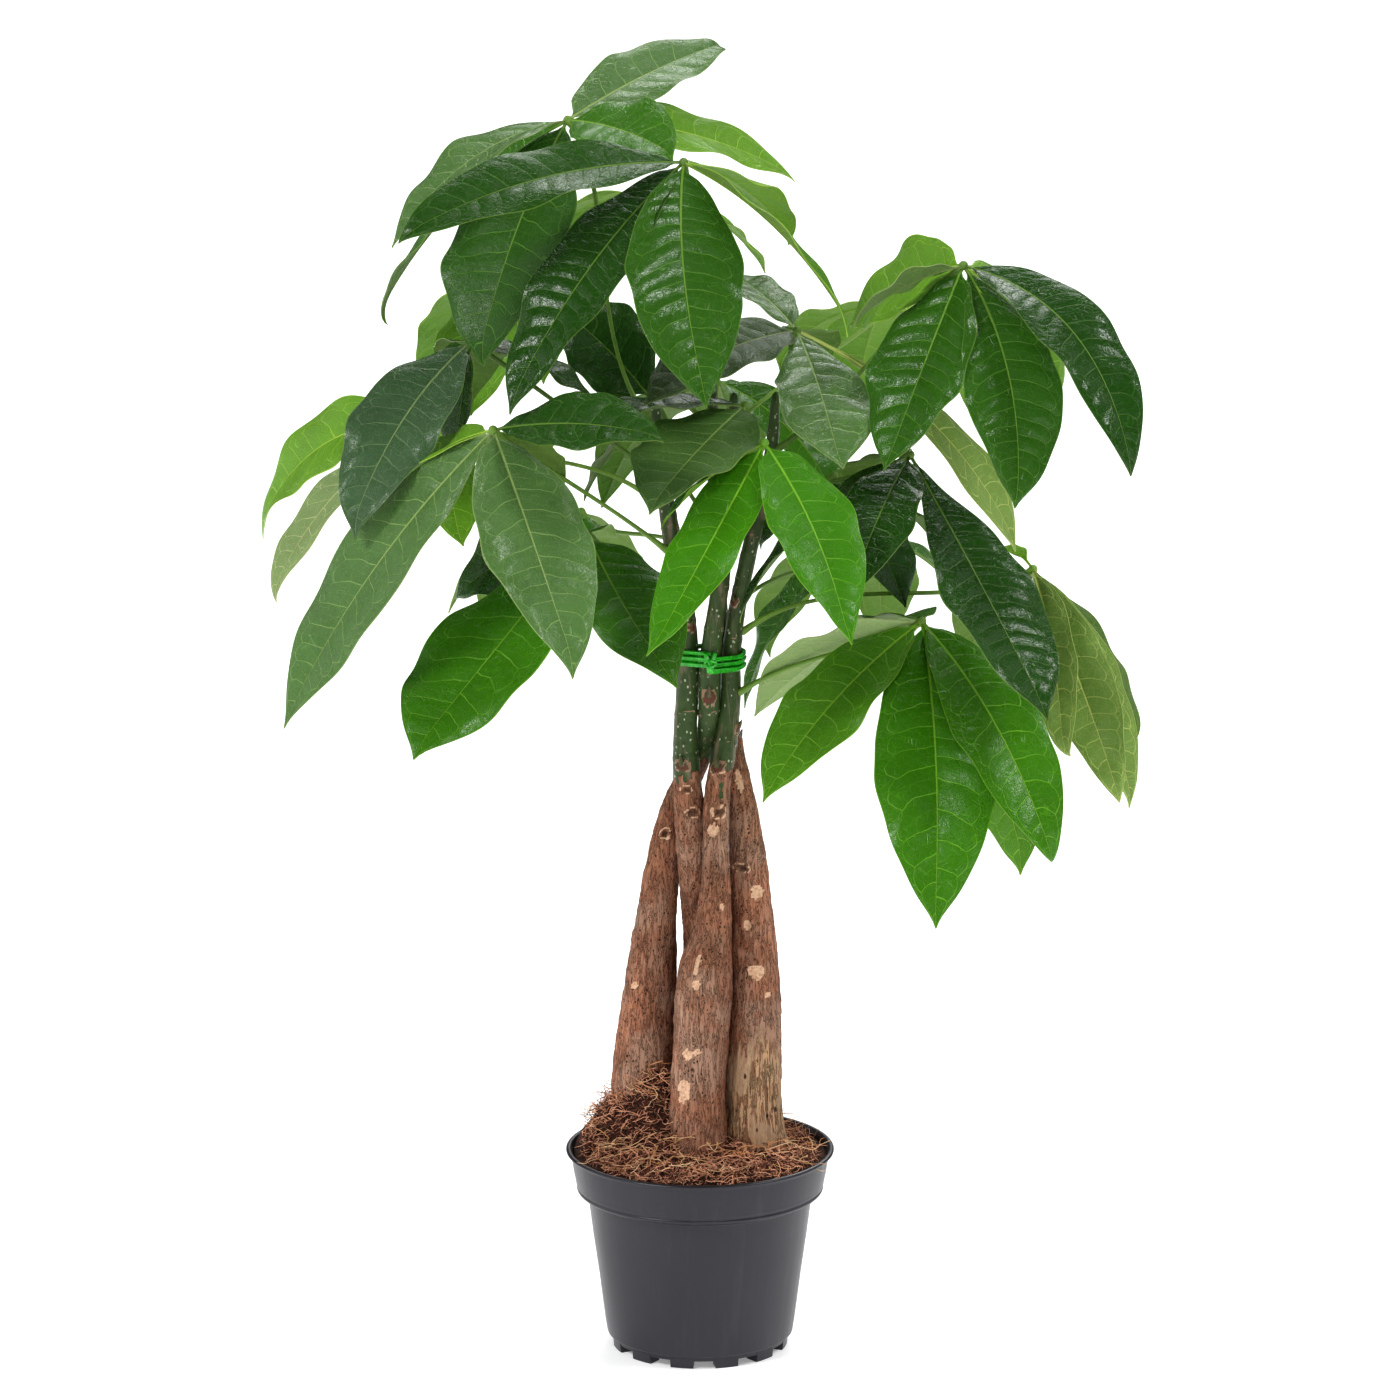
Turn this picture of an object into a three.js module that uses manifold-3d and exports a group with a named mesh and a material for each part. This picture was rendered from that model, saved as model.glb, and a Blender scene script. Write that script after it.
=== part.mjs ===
// A potted money tree: four trunks with green shoots bound together by a tie, a crown of hand-shaped
// leaves on long stalks, a heap of coir and a dark nursery pot.
// Millimetres. Origin at the middle of the pot's base, +Z up, the photographed side towards -Y.
import * as THREE from "three";
import { mergeVertices } from "three/addons/utils/BufferGeometryUtils.js";
import Module from "manifold-3d";

const wasm = await Module();
wasm.setup();

// ---- driving dimensions ----
const CLEARANCE = 0.3; // between pieces that rest on each other
const POT_SIDES = 32;
const POT_RIM_RADIUS = 85.3;
const POT_RIM_INSIDE = 82;
const POT_HEIGHT = 130;
const POT_WALL = 1.4;
const POT_COLLAR_BOTTOM = 99;
const POT_COLLAR_RADIUS = 78.3; // at the raised line round the collar's foot
const POT_COLLAR_INSIDE = 76;
const POT_WAIST_RADIUS = 71.3; // body just under the collar
const POT_BASE_RADIUS = 55.8;
const POT_LEDGE = 3; // the body stands this far out over the foot ring
const POT_FLOOR = 5;
const POT_FLOOR_WALL = 2.2;
const FOOT_COUNT = 12;
const FOOT_GAP = 14; // width of each notch between two feet
const FOOT_PHASE = 18; // degrees, direction of one foot
const FOOT_INNER_RADIUS = 46;
const FOOT_CUT_REACH = 30; // length of the cutter of a notch, across the foot ring

const SOIL_LEVEL = 125;
const SOIL_EDGE_RADIUS = 77.5;
const SOIL_RING_SPACING = 0.9; // under 1, the rings are wider apart near the middle
const SOIL_DOME = 8; // how much the middle stands above the edge
const SOIL_RINGS = 5;
const SOIL_SEED = 11;
const SOIL_ROUGHNESS = 1.4;
const SOIL_HEAPS = [
  { x: -42, y: 24, height: 31, wide: 30, steep: 1.5 },
  { x: -24, y: 2, height: 24, wide: 17, steep: 1 },
  { x: 18, y: 22, height: 12, wide: 30, steep: 1 },
];

const STEM_SIDES = 8;
const HOLE_TOP = 230; // the cutter of a stem's hole ends above the heap

const TIE_HEIGHT = 444; // lowest turn
const TIE_TURNS = 3;
const TIE_PITCH = 3.7;
const TIE_RADIUS = 1.5;
const TIE_STEPS = 20; // points a turn
const TIE_SIDES = 4;
const KNOT_ANGLE = -90; // degrees, where the turns begin and end
const KNOT_PROUD = 1.6; // the knot lies on the turns
const KNOT_RADII = [1.5, 1.9, 1.3];
// The two ends: sideways, inward at the start, rise and forward at the end.
const KNOT_ENDS = [
  [-4, -0.4, 6.5, 0.2],
  [3.5, 0.5, 7, 0.4],
];

const BLADE_THICKNESS = 0.8;
// Shares of a leaflet's length after its root, where its section is set.
const LONG_STATIONS = [0.11, 0.3, 0.5, 0.7, 0.87, 1];
const SHORT_STATIONS = [0.13, 0.35, 0.58, 0.81, 1];
const LONG_LEAFLET = 150;
const BLADE_FOLD = 0.22; // rise of the margins over the midrib, as a share of the half width
const BLADE_FULLNESS = 0.88;
const BLADE_STALK_HALF_WIDTH = 1;
const BLADE_START = 2.4; // distance of its root from the middle of the hub
const BLADE_TIP_HALF_WIDTH = 0.6;
const WAVE_HEIGHT = 0.05; // share of the half width
const WAVE_COUNT = 1.5;
const PETIOLE_SIDES = 4;
const PETIOLE_STEPS = 6;
const PETIOLE_RADIUS = 1.5;
const PETIOLE_SWELLING = 1.2; // added where it leaves the stem
const PETIOLE_SETTLING = 12; // how fast that swelling dies out
const PETIOLE_SPREAD = 0.5; // added at the hub
const PETIOLE_FOOT_REACH = { out: 0.3, up: 0.22 }; // handles of its curve, as shares of its span
const PETIOLE_HUB_REACH = { out: 0.22, up: 0.16 };
const PETIOLE_FOOT_OUT = 0.4;
const KNOB_RADIUS = 4.2;

const COLOURS = {
  pot: 0x2e3133,
  soil: 0x5a4331,
  stem: 0x6f5f52,
  tie: 0x12a06a,
  dark: 0x24481f,
  mid: 0x3c7030,
  light: 0x78984e,
  young: 0x3f9a22,
};

// Each stem: x, y, z, radius from the root end to the growing tip. The lower part is brown trunk.
const STEMS = [
  {
    name: "stem_1",
    path: [
      [-34, 27, 98, 13], [-36, 27, 112, 19], [-36, 27, 150, 20.5], [-36, 27, 178, 19.6],
      [-33, 27, 212, 17.6], [-30.5, 26, 243, 15.6], [-27.5, 26, 275, 12.6], [-24, 26, 305, 11.3],
      [-19, 26, 331, 10.4], [-12, 24, 355, 9.2], [-4, 19, 374, 7.4], [2, 12, 388, 5.6],
      [4.5, 5.5, 402, 5.2], [6, 0.5, 420, 5.4], [6.4, -3, 449, 5.5], [9, -5, 473, 5.6],
      [13, -8, 500, 5.4], [17, -14, 545, 4.8], [20, -18, 590, 3.8], [21, -19, 622, 2.6],
    ],
  },
  {
    name: "stem_2",
    path: [
      [6, 38, 98, 11], [6, 38, 112, 16], [6, 38, 170, 15.5], [3, 33, 243, 13.4], [-0.5, 20, 287, 11.6],
      [-3, 12, 312, 11.1], [-4.8, 6, 334, 10.8], [-7.8, 2, 366, 9.1], [-9.2, 0, 402, 7.5],
      [-7.9, -0.5, 430, 7.1], [-7.6, -0.5, 449, 6.9], [-9, -1, 473, 6.6], [-15, -4, 510, 6.0],
      [-21, -8, 550, 5.2], [-26, -10, 590, 4.0], [-28, -11, 622, 2.6],
    ],
  },
  {
    name: "stem_3",
    path: [
      [0, -8, 98, 11], [-0.5, -8, 112, 16], [-1.5, -7, 165, 17.6], [0.5, -6.5, 200, 17.2],
      [3, -6, 240, 17.8], [4, -6, 255, 16.2], [7.2, -6, 270, 12.9], [9, -6, 290, 10.7],
      [10, -7, 314, 8.6], [10, -8, 334, 8.1], [11.2, -5, 366, 7.6], [14.5, -3, 385, 7.0],
      [17.4, -1.5, 402, 6.0], [19.2, -1, 425, 5.9], [19.6, -0.6, 449, 5.7], [22, -1, 473, 5.5],
      [29, -3, 510, 5.2], [38, -5, 550, 4.6], [45, -6, 590, 3.8], [47, -7, 620, 2.6],
    ],
  },
  {
    name: "stem_4",
    path: [
      [38, 3, 98, 12], [37, 3, 112, 17], [34, 3, 165, 17.4], [35, 5, 200, 16.6], [34.8, 8.5, 243, 15.3],
      [32, 10, 287, 13.2], [30.5, 11, 312, 11.9], [28.4, 12, 334, 10.6], [24, 13, 366, 8.4],
      [20, 14, 388, 7.0], [17.5, 14.5, 410, 6.1], [14, 13.5, 449, 5.4], [12, 17, 480, 5.2],
      [10, 26, 520, 5.0], [9, 34, 560, 4.4], [8, 40, 600, 3.4], [8, 42, 622, 2.5],
    ],
  },
];

// Each leaf: its tone, the hub where its leaflets meet, the stem it grows from, the height of its stalk's
// foot on that stem. Each leaflet: azimuth, droop, length, width, arch, roll, place of the widest point,
// sideways bend. Angles in degrees: azimuth 0 is +X and -90 is towards the viewer.
const LEAVES = [
  {
    name: "leaf_top_left",
    tone: "mid",
    hub: [-82, 40, 782],
    stem: 1,
    foot: 600,
    leaflets: [
      [48, -12, 158, 47, 0.03, 24, 0.46, 0],
      [-47, 6, 99, 56, 0.05, 26, 0.5, 0],
      [31, 17, 176, 44, 0.06, 34, 0.5, 0],
      [151, 45, 204, 62, 0.075, -20, 0.5, 0],
      [-118, 49, 177, 82, 0.06, 0, 0.55, 0],
      [-152, 30, 140, 50, 0.12, 0, 0.5, 0],
    ],
  },
  {
    name: "leaf_top_front",
    tone: "dark",
    hub: [-10, -40, 769],
    stem: 3,
    foot: 612,
    leaflets: [
      [-82, 51, 168, 71, 0.07, 0, 0.52, -0.05],
      [-139, 44, 197, 58, 0.06, -14, 0.5, 0],
      [-155, 10, 196, 52, 0.07, -28, 0.5, 0],
      [-43, 32, 166, 42, 0.085, -34, 0.5, 0],
      [50, 31, 124, 48, 0.08, 4, 0.5, 0],
    ],
  },
  {
    name: "leaf_left_front",
    tone: "mid",
    hub: [-125, -120, 619],
    stem: 1,
    foot: 520,
    leaflets: [
      [180, 55, 226, 64, 0.045, -38, 0.5, 0],
      [-63, 48, 172, 72, 0.01, 0, 0.45, 0],
      [-31, -4, 122, 46, 0.05, 34, 0.5, 0],
      [139, 34, 124, 44, 0.08, -24, 0.5, 0],
      [62, 40, 96, 44, 0.1, 0, 0.5, 0],
    ],
  },
  {
    name: "leaf_left_dark",
    tone: "dark",
    hub: [-141, -30, 656],
    stem: 1,
    foot: 570,
    leaflets: [
      [-129, 42, 154, 60, 0.088, -14, 0.5, 0],
      [150, 46, 130, 46, 0.1, -10, 0.5, 0],
      [92, 30, 112, 46, 0.1, 0, 0.5, 0],
      [-104, 62, 92, 40, 0.04, 50, 0.5, 0],
      [-8, 24, 84, 44, 0.06, 0, 0.5, 0],
    ],
  },
  {
    name: "leaf_far_left",
    tone: "light",
    hub: [-170, 70, 583],
    stem: 1,
    foot: 548,
    leaflets: [
      [150, 33, 158, 56, 0.165, -44, 0.5, 0],
      [-137, 35, 166, 42, 0.11, 8, 0.5, 0],
      [98, 36, 150, 52, 0.12, 0, 0.5, 0],
      [-70, 48, 88, 42, 0.06, 0, 0.55, 0],
      [44, 35, 120, 44, 0.1, 0, 0.5, 0],
    ],
  },
  {
    name: "leaf_low_left",
    tone: "dark",
    hub: [-69, -60, 541],
    stem: 1,
    foot: 478,
    leaflets: [
      [-135, 37, 188, 88, 0.0, -8, 0.6, 0],
      [-59, 34, 136, 82, 0.02, 0, 0.48, 0],
      [160, 28, 102, 56, 0.08, -40, 0.5, 0],
      [100, 30, 130, 56, 0.12, 0, 0.5, 0],
    ],
  },
  {
    name: "leaf_centre_left",
    tone: "dark",
    hub: [28, -50, 620],
    stem: 0,
    foot: 560,
    leaflets: [
      [-121, 21, 122, 76, 0.03, 0, 0.5, 0],
      [-172, 10, 126, 50, 0.08, 0, 0.5, 0],
    ],
  },
  {
    name: "leaf_inner_left",
    tone: "dark",
    hub: [-30, 34, 606],
    stem: 3,
    foot: 535,
    leaflets: [
      [172, -44, 88, 62, 0.04, -46, 0.5, 0],
      [180, 14, 84, 50, 0.08, 0, 0.5, 0],
      [166, 56, 80, 36, 0.04, 0, 0.5, 0],
      [110, 30, 84, 44, 0.1, 0, 0.5, 0],
    ],
  },
  {
    name: "leaf_centre",
    tone: "dark",
    hub: [60, 0, 657],
    stem: 2,
    foot: 612,
    leaflets: [
      [-138, 13, 128, 60, 0.07, -14, 0.45, 0],
      [-78, 27, 134, 62, 0.05, -4, 0.62, 0],
      [116, -11, 102, 34, 0.05, 0, 0.5, 0],
      [74, 28, 70, 36, 0.1, 0, 0.5, 0],
      [-1, 45, 196, 32, 0.1, 40, 0.7, -0.04],
    ],
  },
  {
    name: "leaf_young",
    tone: "young",
    hub: [39, -110, 609],
    stem: 0,
    foot: 530,
    leaflets: [
      [-126, 43, 161, 47, 0.0, -8, 0.45, 0],
      [-61, 45, 146, 55, 0.04, 6, 0.45, 0.03],
      [176, 40, 84, 32, 0.06, 0, 0.5, 0],
    ],
  },
  {
    name: "leaf_right_high",
    tone: "dark",
    hub: [161, -44, 706],
    stem: 2,
    foot: 584,
    leaflets: [
      [-124, 52, 142, 67, 0.01, 0, 0.5, 0],
      [-71, 55, 162, 60, 0.08, 6, 0.56, 0.05],
      [-48, 37, 186, 50, 0.165, 14, 0.5, 0.03],
      [36, 32, 122, 46, 0.1, 8, 0.5, 0],
      [131, 27, 116, 60, 0.07, -52, 0.5, 0],
      [-6, 50, 100, 50, 0.06, 20, 0.5, 0],
      [-168, 26, 78, 34, 0.08, 30, 0.5, 0],
    ],
  },
  {
    name: "leaf_right_dark",
    tone: "dark",
    hub: [129, -50, 589],
    stem: 2,
    foot: 545,
    leaflets: [
      [-55, 44, 197, 68, 0.01, 0, 0.6, 0],
      [-112, 33, 122, 52, 0.05, 0, 0.5, 0],
      [180, 44, 150, 46, 0.08, 0, 0.5, 0],
      [122, 24, 80, 42, 0.06, 0, 0.5, 0],
    ],
  },
  {
    name: "leaf_inner_right",
    tone: "dark",
    hub: [84, 44, 556],
    stem: 3,
    foot: 515,
    leaflets: [
      [-165, 40, 66, 46, 0.05, 0, 0.5, 0],
      [-105, 50, 66, 50, 0.05, 0, 0.5, 0],
      [-42, 52, 96, 54, 0.06, 0, 0.5, 0],
      [20, 38, 96, 46, 0.1, 0, 0.5, 0],
    ],
  },
  {
    name: "leaf_low_right",
    tone: "mid",
    hub: [137, -50, 484],
    stem: 2,
    foot: 428,
    leaflets: [
      [-138, 34.5, 161, 56, 0.03, -16, 0.5, -0.04],
      [-87.6, 53, 203, 76, 0.06, 0, 0.5, 0.02],
      [-56, 42, 190, 56, 0.08, 18, 0.5, 0],
      [0, 68, 174, 58, 0.05, 60, 0.55, 0],
      [150, 32, 140, 58, 0.08, 22, 0.5, 0],
      [104, 24, 130, 50, 0.1, 0, 0.5, 0],
    ],
  },
  {
    name: "leaf_far_right",
    tone: "light",
    hub: [209, 30, 499],
    stem: 2,
    foot: 466,
    leaflets: [
      [-80, 48, 140, 34, 0.12, 40, 0.5, 0],
      [-64, 47, 172, 42, 0.03, 34, 0.5, 0],
      [35, 57, 156, 46, 0.05, 0, 0.5, 0],
      [-32, 62, 162, 42, 0.03, 30, 0.5, 0],
      [112, 40, 130, 48, 0.12, 0, 0.5, 0],
      [-122, 52, 76, 36, 0.16, 0, 0.5, 0],
      [-165, -14, 38, 24, 0.24, 20, 0.5, 0],
    ],
  },
  {
    name: "leaf_back_top",
    tone: "light",
    hub: [-36, 120, 722],
    stem: 3,
    foot: 606,
    leaflets: [
      [34, 32, 112, 46, 0.1, 14, 0.5, 0],
      [76, 42, 142, 54, 0.1, 14, 0.5, 0],
      [124, 38, 134, 54, 0.12, 14, 0.5, 0],
      [-172, 26, 96, 44, 0.1, 14, 0.5, 0],
    ],
  },
  {
    name: "leaf_back_left",
    tone: "light",
    hub: [-128, 128, 668],
    stem: 3,
    foot: 590,
    leaflets: [
      [-118, 66, 92, 58, 0.05, 0, 0.5, 0],
      [118, 44, 138, 54, 0.12, -16, 0.5, 0],
      [74, 42, 132, 54, 0.12, -16, 0.5, 0],
      [22, 40, 120, 50, 0.12, -16, 0.5, 0],
    ],
  },
  {
    name: "leaf_back_right",
    tone: "light",
    hub: [120, 120, 650],
    stem: 3,
    foot: 580,
    leaflets: [
      [20, 38, 122, 50, 0.12, 14, 0.5, 0],
      [58, 40, 150, 54, 0.12, 14, 0.5, 0],
      [100, 40, 136, 54, 0.12, 14, 0.5, 0],
      [150, 30, 96, 44, 0.12, 14, 0.5, 0],
    ],
  },
  {
    name: "leaf_back_centre",
    tone: "mid",
    hub: [10, 130, 600],
    stem: 3,
    foot: 545,
    leaflets: [
      [-26, 42, 120, 50, 0.12, 14, 0.5, 0],
      [28, 44, 140, 52, 0.12, 14, 0.5, 0],
      [82, 44, 128, 52, 0.12, 14, 0.5, 0],
      [136, 44, 140, 52, 0.12, 14, 0.5, 0],
    ],
  },
  {
    name: "leaf_back_low_left",
    tone: "mid",
    hub: [-76, 130, 514],
    stem: 3,
    foot: 500,
    leaflets: [
      [176, 38, 110, 48, 0.1, 14, 0.5, 0],
      [128, 44, 140, 52, 0.12, 14, 0.5, 0],
      [78, 46, 134, 52, 0.12, 14, 0.5, 0],
      [-96, 38, 104, 46, 0.1, 14, 0.5, 0],
    ],
  },
  {
    name: "leaf_back_low_right",
    tone: "mid",
    hub: [110, 130, 500],
    stem: 3,
    foot: 470,
    leaflets: [
      [-152, 48, 140, 52, 0.12, 14, 0.5, 0],
      [30, 46, 130, 50, 0.12, 14, 0.5, 0],
      [84, 46, 132, 52, 0.12, 14, 0.5, 0],
      [140, 46, 130, 50, 0.12, 14, 0.5, 0],
    ],
  },
];

// ---- small helpers ----
function radians(degrees) {
  return (degrees * Math.PI) / 180;
}

function seededRandom(seed) {
  let state = seed;
  return () => {
    state = (state * 16807) % 2147483647;
    return state / 2147483647;
  };
}

// A closed body from points and triangles.
function body(points, triangles) {
  const made = new wasm.Mesh({
    numProp: 3,
    vertProperties: new Float32Array(points.flat()),
    triVerts: new Uint32Array(triangles.flat()),
  });
  return new wasm.Manifold(made);
}

function bodyOf(geometry) {
  const plain = geometry.clone();
  plain.deleteAttribute("normal");
  plain.deleteAttribute("uv");
  const merged = mergeVertices(plain, 1e-4);
  const made = new wasm.Mesh({
    numProp: 3,
    vertProperties: merged.attributes.position.array,
    triVerts: new Uint32Array(merged.index.array),
  });
  return new wasm.Manifold(made);
}

function geometryOf(solid) {
  const mesh = solid.getMesh();
  const geometry = new THREE.BufferGeometry();
  geometry.setAttribute("position", new THREE.BufferAttribute(mesh.vertProperties, 3));
  geometry.setIndex(new THREE.BufferAttribute(mesh.triVerts, 1));
  const flat = geometry.toNonIndexed();
  flat.computeVertexNormals();
  return flat;
}

// Rings of equal point count, counter-clockwise about the way the rings follow, joined and capped.
function loft(rings) {
  const sides = rings[0].length;
  const points = rings.flat();
  const triangles = [];
  for (let ring = 0; ring + 1 < rings.length; ring++) {
    for (let side = 0; side < sides; side++) {
      const next = (side + 1) % sides;
      const low = ring * sides;
      const high = low + sides;
      triangles.push([low + side, low + next, high + next]);
      triangles.push([low + side, high + next, high + side]);
    }
  }
  const last = (rings.length - 1) * sides;
  for (let side = 1; side + 1 < sides; side++) {
    triangles.push([0, side + 1, side]);
    triangles.push([last, last + side, last + side + 1]);
  }
  return body(points, triangles);
}

// Rings square to a path of vectors, with a radius at each point.
function tube(path, radii, sides) {
  const rings = [];
  let across = null;
  path.forEach((point, index) => {
    const before = path[Math.max(index - 1, 0)];
    const after = path[Math.min(index + 1, path.length - 1)];
    const along = after.clone().sub(before).normalize();
    if (!across) {
      across = new THREE.Vector3(0, 0, 1).cross(along);
      if (across.length() < 0.1) across = new THREE.Vector3(1, 0, 0);
    }
    across = across.clone().addScaledVector(along, -across.dot(along)).normalize();
    const up = along.clone().cross(across);
    const ring = [];
    for (let side = 0; side < sides; side++) {
      const turn = (2 * Math.PI * side) / sides;
      const spot = point.clone();
      spot.addScaledVector(across, radii[index] * Math.cos(turn));
      spot.addScaledVector(up, radii[index] * Math.sin(turn));
      ring.push(spot.toArray());
    }
    rings.push(ring);
  });
  return loft(rings);
}

// ---- pot ----
function potGeometry() {
  const collarFoot = POT_COLLAR_BOTTOM;
  const floorTop = POT_FLOOR + POT_FLOOR_WALL;
  const ledge = POT_BASE_RADIUS + POT_LEDGE;
  const profile = [
    [0, POT_FLOOR],
    [FOOT_INNER_RADIUS - 2, POT_FLOOR],
    [FOOT_INNER_RADIUS, 0],
    [POT_BASE_RADIUS, 0],
    [POT_BASE_RADIUS + 0.6, floorTop + 0.4],
    [ledge, floorTop + 1.2],
    [ledge + 0.4, floorTop + 2.4],
    [POT_WAIST_RADIUS, collarFoot - 2],
    [POT_COLLAR_RADIUS - 1.3, collarFoot],
    [POT_COLLAR_RADIUS, collarFoot + 1.4],
    [POT_COLLAR_RADIUS, collarFoot + 3.6],
    [POT_COLLAR_RADIUS + 0.7, collarFoot + 6],
    [POT_RIM_INSIDE, POT_HEIGHT - 3],
    [POT_RIM_RADIUS, POT_HEIGHT - 1.3],
    [POT_RIM_RADIUS - 1.3, POT_HEIGHT],
    [POT_RIM_INSIDE, POT_HEIGHT],
    [POT_RIM_INSIDE - POT_WALL, POT_HEIGHT - 2.6],
    [POT_COLLAR_INSIDE + 1.6, collarFoot + 6],
    [POT_COLLAR_INSIDE, collarFoot + 2],
    [POT_WAIST_RADIUS - POT_WALL, collarFoot - 1],
    [POT_BASE_RADIUS + 1.8, floorTop + 3.2],
    [POT_BASE_RADIUS - 1, floorTop],
    [0, floorTop],
  ];
  const turned = profile.map(([radius, height]) => new THREE.Vector2(radius, height));
  const wall = bodyOf(new THREE.LatheGeometry(turned, POT_SIDES).rotateX(Math.PI / 2));
  let notches = null;
  for (let index = 0; index < FOOT_COUNT; index++) {
    const notch = new THREE.BoxGeometry(FOOT_CUT_REACH, FOOT_GAP, 2 * POT_FLOOR);
    notch.translate(POT_BASE_RADIUS, 0, 0);
    notch.rotateZ(radians(FOOT_PHASE + ((index + 0.5) * 360) / FOOT_COUNT));
    const cut = bodyOf(notch);
    notches = notches ? notches.add(cut) : cut;
  }
  return geometryOf(wall.subtract(notches));
}

// ---- stems ----
function stemSolid(path, growth, bottom) {
  const rings = path.map(([x, y, z, radius], index) => {
    const ring = [];
    for (let side = 0; side < STEM_SIDES; side++) {
      const turn = (2 * Math.PI * side) / STEM_SIDES;
      const reach = radius + growth;
      const level = index === 0 ? bottom : z;
      ring.push([x + reach * Math.cos(turn), y + reach * Math.sin(turn), level]);
    }
    return ring;
  });
  return loft(rings);
}

function stemAt(stem, height) {
  const path = stem.path;
  let index = 0;
  while (index + 2 < path.length && path[index + 1][2] < height) index++;
  const [from, to] = [path[index], path[index + 1]];
  const share = (height - from[2]) / (to[2] - from[2]);
  return from.map((value, axis) => value + (to[axis] - value) * share);
}

// ---- coir ----
function soilHeight(x, y) {
  const reach = Math.hypot(x, y) / POT_RIM_RADIUS;
  let height = SOIL_LEVEL + SOIL_DOME * (1 - reach * reach);
  SOIL_HEAPS.forEach((heap) => {
    const away = Math.hypot(x - heap.x, y - heap.y) / heap.wide;
    height += heap.height * Math.exp(-Math.pow(away, 2 * heap.steep));
  });
  return height;
}

function soilGeometry() {
  const random = seededRandom(SOIL_SEED);
  const clear = CLEARANCE + 0.1;
  const floorTop = POT_FLOOR + POT_FLOOR_WALL;
  // A little inside the pot's inner wall, corner by corner.
  const wall = [
    [POT_BASE_RADIUS - 1.6, floorTop + CLEARANCE],
    [POT_BASE_RADIUS + 1.8 - clear, floorTop + 3.4],
    [POT_WAIST_RADIUS - POT_WALL - clear, POT_COLLAR_BOTTOM - 0.6],
    [POT_COLLAR_INSIDE - clear, POT_COLLAR_BOTTOM + 2.6],
    [POT_COLLAR_INSIDE + 1.6 - clear, POT_COLLAR_BOTTOM + 6.4],
    [SOIL_EDGE_RADIUS + 1.5, SOIL_LEVEL - 4],
  ];
  const ringAt = (radius, heightAt) => {
    const ring = [];
    for (let side = 0; side < POT_SIDES; side++) {
      const turn = (2 * Math.PI * side) / POT_SIDES;
      const x = radius * Math.sin(turn);
      const y = -radius * Math.cos(turn);
      ring.push([x, y, heightAt(x, y)]);
    }
    return ring;
  };
  const rings = wall.map(([radius, height]) => ringAt(radius, () => height));
  for (let index = 0; index < SOIL_RINGS; index++) {
    const radius = SOIL_EDGE_RADIUS * Math.pow(1 - index / SOIL_RINGS, SOIL_RING_SPACING);
    const rough = index === 0 ? 0 : SOIL_ROUGHNESS;
    rings.push(ringAt(radius, (x, y) => soilHeight(x, y) + rough * (random() - 0.5)));
  }
  let soil = loft(rings);
  STEMS.forEach((stem) => {
    const rooted = stem.path.filter((point) => point[2] < HOLE_TOP);
    soil = soil.subtract(stemSolid(rooted, CLEARANCE, rooted[0][2] - CLEARANCE));
  });
  return geometryOf(soil);
}

// ---- tie ----
// The tightest loop round all four stems, offset outwards: the point that looks towards an angle.
function hullPoint(angle, height, offset) {
  const out = [Math.cos(angle), Math.sin(angle)];
  let best = null;
  STEMS.forEach((stem) => {
    const [x, y, , radius] = stemAt(stem, height);
    const reach = x * out[0] + y * out[1] + radius;
    if (!best || reach > best.reach) best = { reach, x, y, radius };
  });
  const grow = best.radius + offset;
  return new THREE.Vector3(best.x + grow * out[0], best.y + grow * out[1], height);
}

function tieGeometry() {
  const path = [];
  const offset = CLEARANCE + TIE_RADIUS + 0.1;
  const steps = TIE_TURNS * TIE_STEPS;
  for (let step = 0; step <= steps; step++) {
    const angle = radians(KNOT_ANGLE) + (2 * Math.PI * step) / TIE_STEPS;
    path.push(hullPoint(angle, TIE_HEIGHT + (TIE_PITCH * step) / TIE_STEPS, offset));
  }
  let tie = tube(path, path.map(() => TIE_RADIUS), TIE_SIDES);
  const middle = TIE_HEIGHT + (TIE_TURNS * TIE_PITCH) / 2;
  const knot = hullPoint(radians(KNOT_ANGLE), middle, offset + KNOT_PROUD);
  KNOT_ENDS.forEach(([sideways, inward, rise, forward]) => {
    const from = knot.clone().add(new THREE.Vector3(-sideways * 0.4, inward, -rise));
    const to = knot.clone().add(new THREE.Vector3(sideways, -forward, rise));
    tie = tie.add(tube([from, knot, to], KNOT_RADII, TIE_SIDES));
  });
  return geometryOf(tie);
}

// ---- leaves ----
function bladeRow(hub, leaflet, share) {
  const [azimuth, droop, length, width, arch, roll, widest, bend] = leaflet;
  const [a, d] = [radians(azimuth), radians(droop)];
  const ahead = new THREE.Vector3(Math.cos(d) * Math.cos(a), Math.cos(d) * Math.sin(a), -Math.sin(d));
  const above = new THREE.Vector3(Math.sin(d) * Math.cos(a), Math.sin(d) * Math.sin(a), Math.cos(d));
  const left = new THREE.Vector3(-Math.sin(a), Math.cos(a), 0);
  const curve = above.clone().multiplyScalar(arch).addScaledVector(left, bend).multiplyScalar(length);
  const point = hub.clone().addScaledVector(ahead, length * share);
  point.addScaledVector(curve, 4 * share * (1 - share));
  const along = ahead.clone().multiplyScalar(length).addScaledVector(curve, 4 * (1 - 2 * share));
  along.normalize();
  const flat = left.addScaledVector(along, -left.dot(along)).normalize();
  const turned = along.clone().cross(flat);
  const across = flat.clone().multiplyScalar(Math.cos(radians(roll)));
  across.addScaledVector(turned, Math.sin(radians(roll)));
  const normal = along.clone().cross(across);
  const skew = Math.log(0.5) / Math.log(widest);
  const swell = Math.sin(Math.PI * Math.pow(share, skew));
  let half = (width / 2) * Math.pow(Math.max(swell, 0), BLADE_FULLNESS);
  half = Math.max(half, share < 0.3 ? BLADE_STALK_HALF_WIDTH : BLADE_TIP_HALF_WIDTH);
  return { point, across, normal, half };
}

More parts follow.
